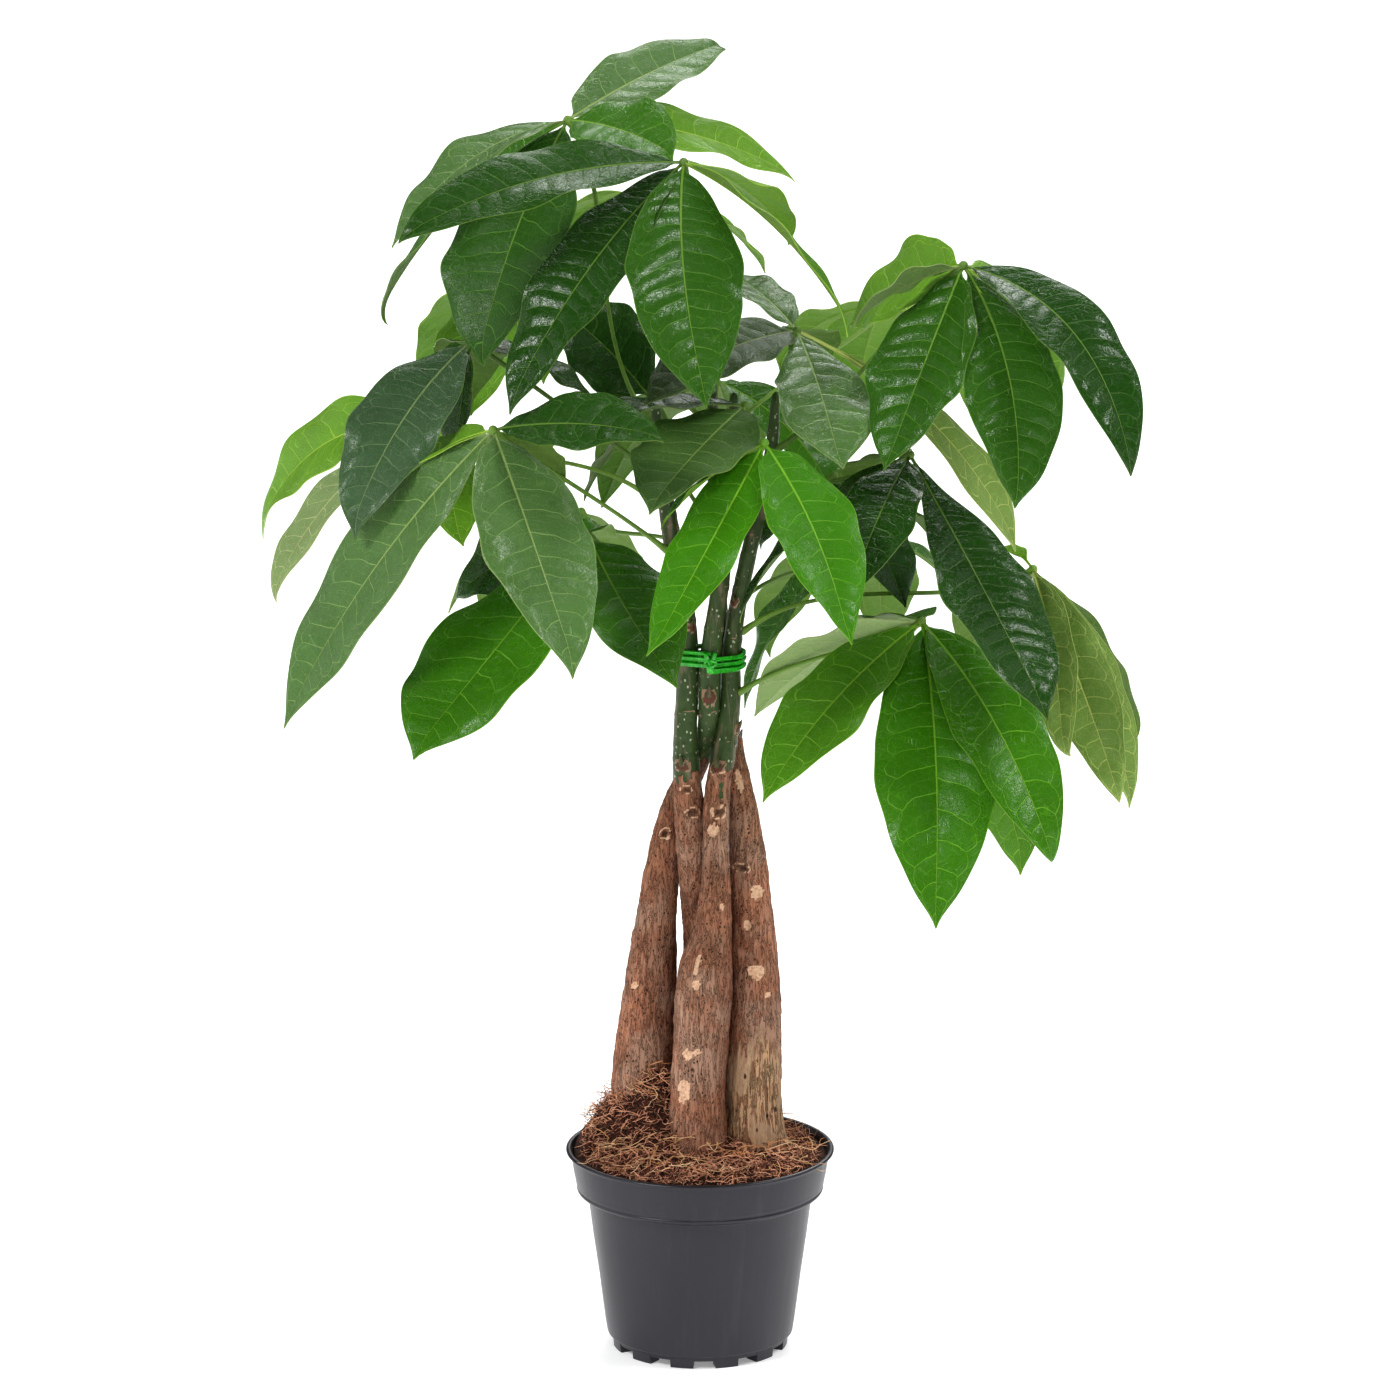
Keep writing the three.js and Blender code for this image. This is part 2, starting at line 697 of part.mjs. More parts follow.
// Top and bottom are the same grid of three columns with the same diagonals.
function leafletSolid(hub, leaflet) {
  const points = [];
  const triangles = [];
  const columns = 3;
  const phase = leaflet[0] + leaflet[2]; // sets neighbours' waves apart
  const length = leaflet[2];
  const shares = length < LONG_LEAFLET ? SHORT_STATIONS : LONG_STATIONS;
  const stations = [BLADE_START / length, ...shares];
  stations.forEach((share) => {
    const row = bladeRow(hub, leaflet, share);
    const wave = WAVE_HEIGHT * Math.sin(2 * Math.PI * WAVE_COUNT * share + phase);
    [0.5, -0.5].forEach((face) => {
      [-1, 0, 1].forEach((side) => {
        const lift = Math.abs(side) * (BLADE_FOLD + side * wave) * row.half;
        const spot = row.point.clone().addScaledVector(row.across, side * row.half);
        spot.addScaledVector(row.normal, lift + face * BLADE_THICKNESS);
        points.push(spot.toArray());
      });
    });
  });
  const at = (station, face, column) => (station * 2 + face) * columns + column;
  const quad = (a, b, c, d) => triangles.push([a, b, c], [a, c, d]);
  const last = stations.length - 1;
  for (let i = 0; i < last; i++) {
    for (let j = 0; j + 1 < columns; j++) {
      quad(at(i, 0, j), at(i + 1, 0, j), at(i + 1, 0, j + 1), at(i, 0, j + 1));
      triangles.push([at(i, 1, j), at(i + 1, 1, j + 1), at(i + 1, 1, j)]);
      triangles.push([at(i, 1, j), at(i, 1, j + 1), at(i + 1, 1, j + 1)]);
    }
    quad(at(i, 1, 0), at(i + 1, 1, 0), at(i + 1, 0, 0), at(i, 0, 0));
    quad(at(i, 0, 2), at(i + 1, 0, 2), at(i + 1, 1, 2), at(i, 1, 2));
  }
  for (let j = 0; j + 1 < columns; j++) {
    quad(at(0, 1, j), at(0, 0, j), at(0, 0, j + 1), at(0, 1, j + 1));
    quad(at(last, 0, j), at(last, 1, j), at(last, 1, j + 1), at(last, 0, j + 1));
  }
  return body(points, triangles);
}

function petioleSolid(leaf) {
  const stem = STEMS[leaf.stem];
  const [x, y, , radius] = stemAt(stem, leaf.foot);
  const hub = new THREE.Vector3(...leaf.hub);
  const axis = new THREE.Vector3(x, y, leaf.foot);
  const out = new THREE.Vector3(hub.x - x, hub.y - y, 0).normalize();
  const foot = axis.clone().addScaledVector(out, radius + PETIOLE_FOOT_OUT);
  const span = hub.distanceTo(foot);
  const rise = foot.clone().addScaledVector(out, PETIOLE_FOOT_REACH.out * span);
  rise.z += PETIOLE_FOOT_REACH.up * span;
  const reach = hub.clone().addScaledVector(out, -PETIOLE_HUB_REACH.out * span);
  reach.z -= PETIOLE_HUB_REACH.up * span;
  const curve = new THREE.CubicBezierCurve3(foot, rise, reach, hub);
  const path = curve.getPoints(PETIOLE_STEPS);
  const radii = path.map((_, index) => {
    const share = index / PETIOLE_STEPS;
    const swelling = PETIOLE_SWELLING * Math.exp(-PETIOLE_SETTLING * share);
    return PETIOLE_RADIUS + swelling + PETIOLE_SPREAD * share * share;
  });
  const inside = axis.clone().addScaledVector(out, radius * 0.4);
  path.unshift(inside);
  radii.unshift(radii[0]);
  return tube(path, radii, PETIOLE_SIDES);
}

function knobSolid(hub) {
  const knob = new THREE.SphereGeometry(KNOB_RADIUS, 7, 4);
  knob.translate(hub.x, hub.y, hub.z);
  return bodyOf(knob);
}

function leafGeometry(leaf) {
  const hub = new THREE.Vector3(...leaf.hub);
  const clearing = stemSolid(STEMS[leaf.stem].path, CLEARANCE, STEMS[leaf.stem].path[0][2]);
  let solid = petioleSolid(leaf).subtract(clearing).add(knobSolid(hub));
  leaf.leaflets.forEach((leaflet) => {
    solid = solid.add(leafletSolid(hub, leaflet));
  });
  return geometryOf(solid);
}

// ---- the part ----
const tree = new THREE.Group();

function place(name, geometry, colour) {
  const material = new THREE.MeshStandardMaterial({ color: colour, roughness: 0.6 });
  const mesh = new THREE.Mesh(geometry, material);
  mesh.name = name;
  tree.add(mesh);
}

place("pot", potGeometry(), COLOURS.pot);
place("soil", soilGeometry(), COLOURS.soil);
STEMS.forEach((stem) => {
  place(stem.name, geometryOf(stemSolid(stem.path, 0, stem.path[0][2])), COLOURS.stem);
});
place("tie", tieGeometry(), COLOURS.tie);
LEAVES.forEach((leaf) => {
  place(leaf.name, leafGeometry(leaf), COLOURS[leaf.tone]);
});

export default tree;
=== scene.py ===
"""A potted money tree: four trunks with green shoots bound by a shiny tie, hand-shaped leaves on
long stalks, a heap of coir and a dark nursery pot.

Metres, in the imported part's frame. The tables are in millimetres, as in the part's source.
"""

import math
from collections import namedtuple

import bpy
import numpy as np
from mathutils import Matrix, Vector, noise


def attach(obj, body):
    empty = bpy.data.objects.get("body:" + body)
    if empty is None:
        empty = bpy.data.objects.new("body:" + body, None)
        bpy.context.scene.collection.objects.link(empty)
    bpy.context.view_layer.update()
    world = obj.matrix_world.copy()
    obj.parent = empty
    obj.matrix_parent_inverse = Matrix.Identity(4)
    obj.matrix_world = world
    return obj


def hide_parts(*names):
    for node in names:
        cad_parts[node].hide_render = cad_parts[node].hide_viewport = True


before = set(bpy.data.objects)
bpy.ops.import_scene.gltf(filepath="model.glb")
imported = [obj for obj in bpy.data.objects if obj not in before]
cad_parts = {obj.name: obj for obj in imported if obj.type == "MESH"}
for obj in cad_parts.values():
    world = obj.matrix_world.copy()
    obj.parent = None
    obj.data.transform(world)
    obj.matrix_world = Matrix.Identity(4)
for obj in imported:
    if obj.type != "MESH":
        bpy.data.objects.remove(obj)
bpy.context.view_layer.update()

MM = 0.001
TURN = 2 * math.pi

# ---- sizes, mm ----
POT_HEIGHT = 130
POT_RIM_RADIUS = 85.3
POT_COLLAR_BOTTOM = 102
POT_BODY_TOP_RADIUS = 71.3
POT_BASE_RADIUS = 55.8
POT_WALL = 1.4
POT_FLOOR = 5
POT_FLOOR_THICKNESS = 2.2
FOOT_COUNT = 12
FOOT_GAP = 14
FOOT_PHASE = 18  # degrees
FOOT_INNER_RADIUS = 46
FOOT_SIDE = 0.004  # radians
NOTCH_COLUMNS = range(7, 12)  # of the 18 columns of the pot's grid to one foot and its gap

SOIL_LEVEL = 125
SOIL_DOME = 8
SOIL_RADIUS = 80
SOIL_RINGS = 70
SOIL_SECTORS = 200
FIBRE_BED_RINGS, FIBRE_BED_SECTORS = 26, 72
SOIL_WALL = [(50, 8), (56, 12), (68, 98), (72.6, 105), (75.6, 110), (78.6, 120)]  # radius, height
SOIL_HEAPS = [  # x, y, height, width, steepness
    (-42, 24, 31, 30, 1.5),
    (-24, 2, 28, 17, 1.0),
    (18, 22, 12, 30, 1.0),
]

TIE_HEIGHT = 444
TIE_TURNS = 3
TIE_STEPS = 96  # to one turn
TIE_PITCH = 3.7
TIE_RADIUS = 1.5
TIE_GAP = 1.75  # from the stems to the middle of the tie
KNOT_GAP = 3.3
KNOT_ANGLE = -90

BLADE_THICKNESS = 0.5
BLADE_START = 2.4
BLADE_FULLNESS = 0.88
BLADE_FOLD = 0.22
WAVE_HEIGHT = 0.05
WAVE_COUNT = 1.5
# Where the points of a blade lie between its midrib and its margin, and how many rows it has.
COLUMNS = np.array([0.0, 0.03, 0.075, 0.16, 0.28, 0.41, 0.54, 0.67, 0.79, 0.89, 0.96, 1.0])
SIDE_SHARES = np.concatenate([-COLUMNS[:0:-1], COLUMNS])
STATIONS = 64
VEIN_LEAN = 0.34
VEIN_SWEEP = 0.5
VEIN_OFFSET = 0.24  # between the veins of the left and the right half

STALK_STEPS = 48
STALK_SIDES = 12
KNOB_RADIUS = 2.9
KNOB_HALF_HEIGHT = 3.0

STEM_SIDES = 72
TRUNK_RING_STEP, SHOOT_RING_STEP = 1.6, 1.8
SHOOT_START = 420
RELIEF_LIMIT = 1.2
PEELED_STEM = 3
PEELED_TO = 196  # this stem's pale, fibrous lowest bark ends here
# Height where each trunk's brown bark gives way to its green shoot.
GREEN_FROM = [382, 372, 376, 402]

# Each stem: x, y, z, radius from the root end to the growing tip.
STEMS = [
    [
        (-34, 27, 98, 13), (-36, 27, 112, 19), (-36, 27, 150, 20.5), (-36, 27, 178, 19.6),
        (-33, 27, 212, 17.6), (-30.5, 26, 243, 15.6), (-27.5, 26, 275, 12.6), (-24, 26, 305, 11.3),
        (-19, 26, 331, 10.4), (-12, 24, 355, 9.4), (-3, 18.5, 374, 8.1), (3, 12, 388, 6.8),
        (4.8, 3, 402, 6.6), (5.8, -3.5, 420, 6.8), (6.4, -6, 449, 6.5), (9, -7, 473, 5.9),
        (13, -8, 500, 5.4), (17, -14, 545, 4.8), (20, -18, 590, 3.8), (21, -19, 622, 2.6),
    ],
    [
        (6, 38, 98, 11), (6, 38, 112, 16), (6, 38, 170, 15.5), (3, 33, 243, 13.4),
        (-0.5, 20, 287, 11.6), (-3, 12, 312, 11.1), (-4.8, 6, 334, 10.8), (-7.8, 2, 366, 9.1),
        (-9.2, 0, 402, 7.5), (-7.9, -0.5, 430, 7.1), (-7.6, -0.5, 449, 6.9), (-9, -1, 473, 6.6),
        (-15, -4, 510, 6.0), (-21, -8, 550, 5.2), (-26, -10, 590, 4.0), (-28, -11, 622, 2.6),
    ],
    [
        (0, -8, 98, 11), (-0.5, -8, 112, 16), (-1.5, -7, 165, 17.6), (0.5, -6.5, 200, 17.2),
        (3, -6, 240, 17.8), (4, -6, 255, 16.2), (7.2, -6, 270, 12.9), (9, -6, 290, 10.7),
        (10, -7, 314, 8.6), (10, -8, 334, 8.2), (11, -5, 366, 8.0), (14.3, -3, 385, 7.5),
        (17.1, -1.5, 402, 6.9), (19, -1, 425, 6.4), (19.6, -0.6, 449, 6.0), (22, -1, 473, 5.5),
        (29, -3, 510, 5.2), (38, -5, 550, 4.6), (45, -6, 590, 3.8), (47, -7, 620, 2.6),
    ],
    [
        (38, 3, 98, 12), (37, 3, 112, 17), (34, 3, 165, 17.4), (35, 5, 200, 16.6),
        (34.8, 8.5, 243, 15.3), (32, 10, 287, 13.2), (30.5, 11, 312, 11.9), (28.4, 12, 334, 10.6),
        (24, 13, 366, 8.4), (20, 14, 388, 7.0), (17.5, 14.5, 410, 6.1), (14, 13.5, 449, 5.4),
        (12, 17, 480, 5.2), (10, 26, 520, 5.0), (9, 34, 560, 4.4), (8, 40, 600, 3.4),
        (8, 42, 622, 2.5),
    ],
]

# Each leaf: name, finish, hub, the stem it grows from, its stalk's foot height and its leaflets.
# Arch and bend are shares of the length, upwards and sideways.
Leaflet = namedtuple("Leaflet", "azimuth droop length width arch roll tone widest bend",
                     defaults=(0.5, 0))
LEAVES = [
    ("leaf_top_left", "leaf_mid", (-82, 40, 782), 1, 600, [
        (48, -12, 158, 47, 0.03, 24, "grey", 0.46), (-47, 6, 99, 56, 0.05, 26, "mid"),
        (31, 17, 176, 44, 0.06, 34, "light"), (151, 45, 204, 62, 0.075, -20, "mid"),
        (-118, 49, 177, 82, 0.06, 0, "matte", 0.55), (-152, 30, 140, 50, 0.12, 0, "grey"),
    ]),
    ("leaf_top_front", "leaf_dark", (-10, -40, 769), 3, 612, [
        (-82, 51, 168, 71, 0.07, 0, "ribbed", 0.52, -0.05), (-139, 44, 197, 58, 0.06, -14, "deep"),
        (-155, 10, 196, 52, 0.07, -28, "dark"), (-43, 32, 166, 42, 0.085, -34, "fresh"),
        (50, 31, 124, 48, 0.08, 4, "light"),
    ]),
    ("leaf_left_front", "leaf_mid", (-125, -120, 619), 1, 520, [
        (180, 55, 226, 64, 0.045, -38, "grey"), (-63, 48, 172, 72, 0.01, 0, "grey", 0.45),
        (-31, -4, 122, 46, 0.05, 34, "dark"), (139, 34, 124, 44, 0.08, -24, "light"),
        (62, 40, 96, 44, 0.1, 0, "mid"),
    ]),
    ("leaf_left_dark", "leaf_dark", (-141, -30, 656), 1, 570, [
        (-129, 42, 154, 60, 0.088, -14, "sheen"), (150, 46, 130, 46, 0.1, -10, "dark"),
        (92, 30, 112, 46, 0.1, 0, "dark"), (-104, 62, 92, 40, 0.04, 50, "dark"),
        (-8, 24, 84, 44, 0.06, 0, "dark"),
    ]),
    ("leaf_far_left", "leaf_light", (-170, 70, 583), 1, 548, [
        (150, 33, 158, 56, 0.165, -44, "light"), (-137, 35, 166, 42, 0.11, 8, "ashen"),
        (98, 36, 150, 52, 0.12, 0, "light"), (-70, 48, 88, 42, 0.06, 0, "light", 0.55),
        (44, 35, 120, 44, 0.1, 0, "mid"),
    ]),
    ("leaf_low_left", "leaf_dark", (-69, -60, 541), 1, 478, [
        (-135, 37, 188, 88, 0.0, -8, "rich", 0.6),
        (-60.5, 33, 132, 74, 0.02, 0, "mid", 0.46, -0.04), (160, 28, 102, 56, 0.08, -40, "dark"),
        (100, 30, 130, 56, 0.12, 0, "rich"),
    ]),
    ("leaf_centre_left", "leaf_dark", (28, -50, 620), 0, 560, [
        (-121, 21, 122, 76, 0.03, 0, "slate"), (-172, 10, 126, 50, 0.08, 0, "dark"),
    ]),
    ("leaf_inner_left", "leaf_dark", (-30, 34, 606), 3, 535, [
        (172, -44, 88, 62, 0.04, -46, "dark"), (180, 14, 84, 50, 0.08, 0, "dark"),
        (166, 56, 80, 36, 0.04, 0, "dark"), (110, 30, 84, 44, 0.1, 0, "dark"),
    ]),
    ("leaf_centre", "leaf_dark", (60, 0, 657), 2, 612, [
        (-138, 13, 128, 60, 0.07, -14, "shade", 0.45), (-78, 27, 134, 62, 0.05, -4, "grey", 0.62),
        (116, -11, 102, 34, 0.05, 0, "grey"), (74, 28, 70, 36, 0.1, 0, "mid"),
        (-1, 45, 196, 32, 0.1, 40, "pale", 0.7, -0.04),
    ]),
    ("leaf_young", "leaf_young", (39, -110, 609), 0, 530, [
        (-126, 43, 161, 47, 0.0, -8, "young", 0.45),
        (-61, 45, 146, 55, 0.04, 6, "young", 0.45, 0.03), (176, 40, 84, 32, 0.06, 0, "young"),
    ]),
    ("leaf_right_high", "leaf_dark", (161, -44, 706), 2, 584, [
        (-124, 52, 142, 67, 0.01, 0, "ribbed"), (-71, 55, 162, 60, 0.08, 6, "ribbed", 0.56, 0.05),
        (-48, 37, 186, 50, 0.165, 14, "deep", 0.5, 0.03), (36, 32, 122, 46, 0.1, 8, "light"),
        (131, 27, 116, 60, 0.07, -52, "light"), (-6, 50, 100, 50, 0.06, 20, "light"),
        (-168, 26, 78, 34, 0.08, 30, "grey"),
    ]),
    ("leaf_right_dark", "leaf_dark", (129, -50, 589), 2, 545, [
        (-55, 44, 197, 68, 0.01, 0, "deep", 0.6), (-112, 33, 122, 52, 0.05, 0, "deep"),
        (180, 44, 150, 46, 0.08, 0, "dark"), (122, 24, 80, 42, 0.06, 0, "dark"),
    ]),
    ("leaf_inner_right", "leaf_dark", (84, 44, 556), 3, 515, [
        (-165, 40, 66, 46, 0.05, 0, "dark"), (-105, 50, 66, 50, 0.05, 0, "dark"),
        (-42, 52, 96, 54, 0.06, 0, "dark"), (20, 38, 96, 46, 0.1, 0, "dark"),
    ]),
    ("leaf_low_right", "leaf_mid", (137, -50, 484), 2, 428, [
        (-138, 34.5, 161, 56, 0.03, -16, "fresh", 0.5, -0.04),
        (-87.6, 53, 203, 76, 0.06, 0, "rich", 0.5, 0.02), (-56, 42, 190, 56, 0.08, 18, "rich"),
        (0, 68, 174, 58, 0.05, 60, "fresh", 0.55), (150, 32, 140, 58, 0.08, 22, "ashen"),
        (104, 24, 130, 50, 0.1, 0, "mid"),
    ]),
    ("leaf_far_right", "leaf_light", (209, 30, 499), 2, 466, [
        (-80, 48, 140, 34, 0.12, 40, "pale"), (-64, 47, 172, 42, 0.03, 34, "pale"),
        (35, 57, 156, 46, 0.05, 0, "dark"), (-32, 62, 162, 42, 0.03, 30, "pale"),
        (112, 40, 130, 48, 0.12, 0, "mid"), (-122, 52, 76, 36, 0.16, 0, "dark"),
        (-165, -14, 38, 24, 0.24, 20, "young"),
    ]),
    ("leaf_back_top", "leaf_light", (-36, 120, 722), 3, 606, [
        (34, 32, 112, 46, 0.1, 14, "light"), (76, 42, 142, 54, 0.1, 14, "light"),
        (124, 38, 134, 54, 0.12, 14, "light"), (-172, 26, 96, 44, 0.1, 14, "light"),
    ]),
    ("leaf_back_left", "leaf_light", (-128, 128, 668), 3, 590, [
        (-118, 66, 92, 58, 0.05, 0, "light"), (118, 44, 138, 54, 0.12, -16, "light"),
        (74, 42, 132, 54, 0.12, -16, "light"), (22, 40, 120, 50, 0.12, -16, "light"),
    ]),
    ("leaf_back_right", "leaf_light", (120, 120, 650), 3, 580, [
        (20, 38, 122, 50, 0.12, 14, "light"), (58, 40, 150, 54, 0.12, 14, "light"),
        (100, 40, 136, 54, 0.12, 14, "light"), (150, 30, 96, 44, 0.12, 14, "light"),
    ]),
    ("leaf_back_centre", "leaf_mid", (10, 130, 600), 3, 545, [
        (-26, 42, 120, 50, 0.12, 14, "mid"), (28, 44, 140, 52, 0.12, 14, "mid"),
        (82, 44, 128, 52, 0.12, 14, "mid"), (136, 44, 140, 52, 0.12, 14, "mid"),
    ]),
    ("leaf_back_low_left", "leaf_mid", (-76, 130, 514), 3, 500, [
        (176, 38, 110, 48, 0.1, 14, "mid"), (128, 44, 140, 52, 0.12, 14, "mid"),
        (78, 46, 134, 52, 0.12, 14, "mid"), (-96, 38, 104, 46, 0.1, 14, "mid"),
    ]),
    ("leaf_back_low_right", "leaf_mid", (110, 130, 500), 3, 470, [
        (-152, 48, 140, 52, 0.12, 14, "mid"), (30, 46, 130, 50, 0.12, 14, "mid"),
        (84, 46, 132, 52, 0.12, 14, "mid"), (140, 46, 130, 50, 0.12, 14, "mid"),
    ]),
]

# Colours of a leaflet's two sides, then how glossy it is, how clear its veins are, how deep the
# quilting between them and how many mm apart they stand.
Tone = namedtuple("Tone", "upper under gloss clear depth spacing")
TONES = {
    "deep": Tone((0.013, 0.056, 0.003), (0.085, 0.14, 0.03), 1.0, 0.45, 0.6, 12.5),
    # The tone below greys and lightens its upper colour to paint the broad bluish reflection on a
    # glossy dark leaflet: a painted reflection over its own gloss.
    "sheen": Tone((0.048, 0.098, 0.04), (0.09, 0.15, 0.035), 0.6, 0.6, 0.45, 13.0),
    # The tone below is darker and greyer for a leaflet in the middle of the crown: painted shade.
    "shade": Tone((0.046, 0.082, 0.028), (0.095, 0.15, 0.045), 0.1, 0.7, 0.35, 11.0),
    "slate": Tone((0.07, 0.145, 0.033), (0.11, 0.18, 0.05), 0.15, 0.8, 0.35, 12.0),
    "fresh": Tone((0.072, 0.21, 0.006), (0.14, 0.24, 0.03), 0.35, 1.0, 0.3, 16.0),
    "ribbed": Tone((0.029, 0.104, 0.006), (0.095, 0.165, 0.035), 0.8, 0.7, 0.75, 12.0),
    "matte": Tone((0.024, 0.086, 0.006), (0.095, 0.165, 0.035), 0.2, 0.9, 0.25, 16.0),
    "dark": Tone((0.016, 0.066, 0.003), (0.09, 0.15, 0.03), 0.6, 0.55, 0.5, 14.0),
    "mid": Tone((0.04, 0.14, 0.005), (0.12, 0.2, 0.04), 0.5, 0.8, 0.45, 14.0),
    "rich": Tone((0.04, 0.158, 0.001), (0.11, 0.2, 0.025), 0.6, 1.0, 0.5, 17.0),
    "light": Tone((0.13, 0.292, 0.018), (0.2, 0.35, 0.05), 0.3, 0.8, 0.3, 16.0),
    "pale": Tone((0.18, 0.28, 0.062), (0.19, 0.31, 0.085), 0.3, 1.0, 0.3, 14.0),
    "ashen": Tone((0.215, 0.3, 0.115), (0.235, 0.33, 0.13), 0.2, 0.8, 0.3, 14.0),
    "grey": Tone((0.078, 0.16, 0.042), (0.15, 0.22, 0.075), 0.5, 0.9, 0.55, 15.0),
    "young": Tone((0.046, 0.19, 0.001), (0.13, 0.27, 0.012), 0.35, 0.7, 0.35, 13.0),
}

STALK_TONES = {
    "leaf_dark": (0.1, 0.19, 0.025),
    "leaf_mid": (0.135, 0.25, 0.03),
    "leaf_light": (0.19, 0.33, 0.05),
    "leaf_young": (0.14, 0.33, 0.02),
}

# Tips that curl under: leaf, leaflet and how far, mm.
HOOKED_TIPS = {
    ("leaf_top_left", 0): 9, ("leaf_top_left", 3): 8, ("leaf_top_front", 2): 6,
    ("leaf_low_right", 2): 9, ("leaf_far_right", 0): 8, ("leaf_far_right", 1): 7,
    ("leaf_right_high", 2): 6, ("leaf_far_left", 1): 6,
}

# Marks on the bark: stem, height, direction in degrees, width and height.
PALE_SCARS = [
    (2, 173, -122, 9, 16), (3, 247, -86, 10, 10), (2, 254, -112, 4, 13), (2, 243, -108, 6, 6),
    (2, 197, -118, 7, 7), (2, 199, -98, 6, 4), (3, 298, -70, 9, 8), (3, 276, -102, 5, 6),
    (2, 341, -102, 8, 8), (2, 292, -62, 4, 5), (3, 368, -82, 5, 13), (3, 232, -60, 5, 4),
    (1, 250, -120, 4, 5), (0, 232, -128, 5, 5), (0, 210, 40, 9, 9), (1, 240, 60, 8, 10),
    (3, 215, 20, 9, 8), (1, 300, 100, 7, 9), (0, 290, 150, 7, 7), (3, 300, 80, 6, 9),
]
BARK_EYES = [  # old bud eyes, ringed and dark inside
    (0, 331, -106, 6, 6), (1, 351, -78, 8, 5), (2, 353, -78, 8, 6), (3, 313, -112, 10, 5),
    (1, 366, -96, 6, 4), (0, 262, 160, 8, 6), (1, 322, 70, 7, 5), (3, 270, 50, 8, 6),
]
BUDS = [  # leaf scars with a small bud
    (0, 426, -92, 8, 9), (1, 381, -108, 8, 7), (2, 381, -112, 8, 7), (2, 404, -20, 6, 6),
    (3, 392, 40, 6, 6), (1, 470, -60, 5, 5), (2, 486, -120, 5, 5), (0, 520, -80, 5, 5),
]

# Kinds of coir fibre: name, material and, in metres, the inputs of its node tree.
FIBRE_INPUTS = ("Density", "Length", "Thickness", "Curl", "Curl scale", "Lift", "Tilt", "Seed",
                "Steps")
FIBRES = [
    ("coir_fibres_fine", "coir fibre", 112000.0, 0.01, 0.00023, 0.011, 190.0, 0.0012, 0.9, 3, 7),
    ("coir_fibres_long", "coir fibre", 50000.0, 0.019, 0.00027, 0.018, 110.0, 0.0018, 0.55, 8, 12),
    ("coir_fibres_pale", "pale root fibre",
     8000.0, 0.03, 0.00032, 0.03, 70.0, 0.0032, 0.35, 21, 18),
]
FIBRE_COLOURS = {  # darkest and palest
    "coir fibre": ((0.12, 0.038, 0.024), (1.0, 0.52, 0.33)),
    "pale root fibre": ((0.62, 0.3, 0.13), (0.9, 0.62, 0.37)),
}


# ---- meshes from grids of points ----
class Gathered:
    """Points, faces and per-point attributes of one piece, in millimetres."""

    def __init__(self, *attributes):
        self.points, self.faces, self.slots = [], [], []
        self.count = 0
        self.values = {name: [] for name in attributes}

    def add_grid(self, grid, wrap=True, cap_start=True, cap_end=True, slot=0, **values):
        """Rows x columns of points; a row's last column joins its first one when wrapped.

        slot is one number or one for each column; values are by attribute, one or one per point.
        """
        rows, columns = grid.shape[:2]
        first = self.count
        points = np.asarray(grid, float).reshape(-1, 3)
        self.points.append(points)
        self.count += len(points)
        for name, known in self.values.items():
            given = np.asarray(values.get(name, (0.0, 0.0, 0.0)), float).reshape(-1, 3)
            known.append(np.broadcast_to(given, points.shape))
        slots = slot if isinstance(slot, list) else [slot] * columns
        for low in range(first, first + (rows - 1) * columns, columns):
            for column in range(columns if wrap else columns - 1):
                after = (column + 1) % columns
                corners = (column, after, columns + after, columns + column)
                self.faces.append(tuple(low + corner for corner in corners))
                self.slots.append(slots[column])
        around_end = range(columns)
        if cap_start:
            self.faces.append(tuple(first + column for column in reversed(around_end)))
            self.slots.append(slots[0])
        if cap_end:
            self.faces.append(tuple(self.count - columns + column for column in around_end))
            self.slots.append(slots[0])

    def to_object(self, name, materials, sharp=50):
        mesh = bpy.data.meshes.new(name)
        mesh.from_pydata((np.concatenate(self.points) * MM).tolist(), [], self.faces)
        mesh.polygons.foreach_set("material_index", self.slots)
        for label, rows in self.values.items():
            layer = mesh.attributes.new(label, "FLOAT_VECTOR", "POINT")
            layer.data.foreach_set("vector", np.concatenate(rows).astype(np.float32).ravel())
        mesh.shade_smooth()
        mesh.set_sharp_from_angle(angle=math.radians(sharp))
        for material in materials:
            mesh.materials.append(material)
        return placed(name, mesh)


def placed(name, data):
    """A new object in the scene."""
    made = bpy.data.objects.new(name, data)
    bpy.context.scene.collection.objects.link(made)
    return made


def show(made, slot_name, *nodes):
    """A finished piece takes its nodes' place."""
    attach(made, "root")
    if nodes:
        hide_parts(*nodes)


def unit(vectors):
    return vectors / np.linalg.norm(vectors, axis=-1, keepdims=True)


def smooth_step(low, high, value):
    t = np.clip((value - low) / (high - low), 0, 1)
    return t * t * (3 - 2 * t)


def stacked(*parts):
    return np.stack(np.broadcast_arrays(*parts), axis=-1)


def turns(count):
    return TURN * np.arange(count) / count


def around(radius, turn, height=0.0):
    """Points at angles round the upright axis."""
    return stacked(radius * np.cos(turn), radius * np.sin(turn), height)


def fractal(points, scale, detail=3, seed=0.0):
    """Smooth noise about 0 at points in millimetres."""
    shift = Vector((seed * 17.3, seed * 9.1, -seed * 5.7))
    flat = np.asarray(points, float).reshape(-1, 3)
    made = [noise.fractal(Vector(p) * scale + shift, 0.6, 2.0, detail) for p in flat]
    return np.array(made).reshape(np.shape(points)[:-1])


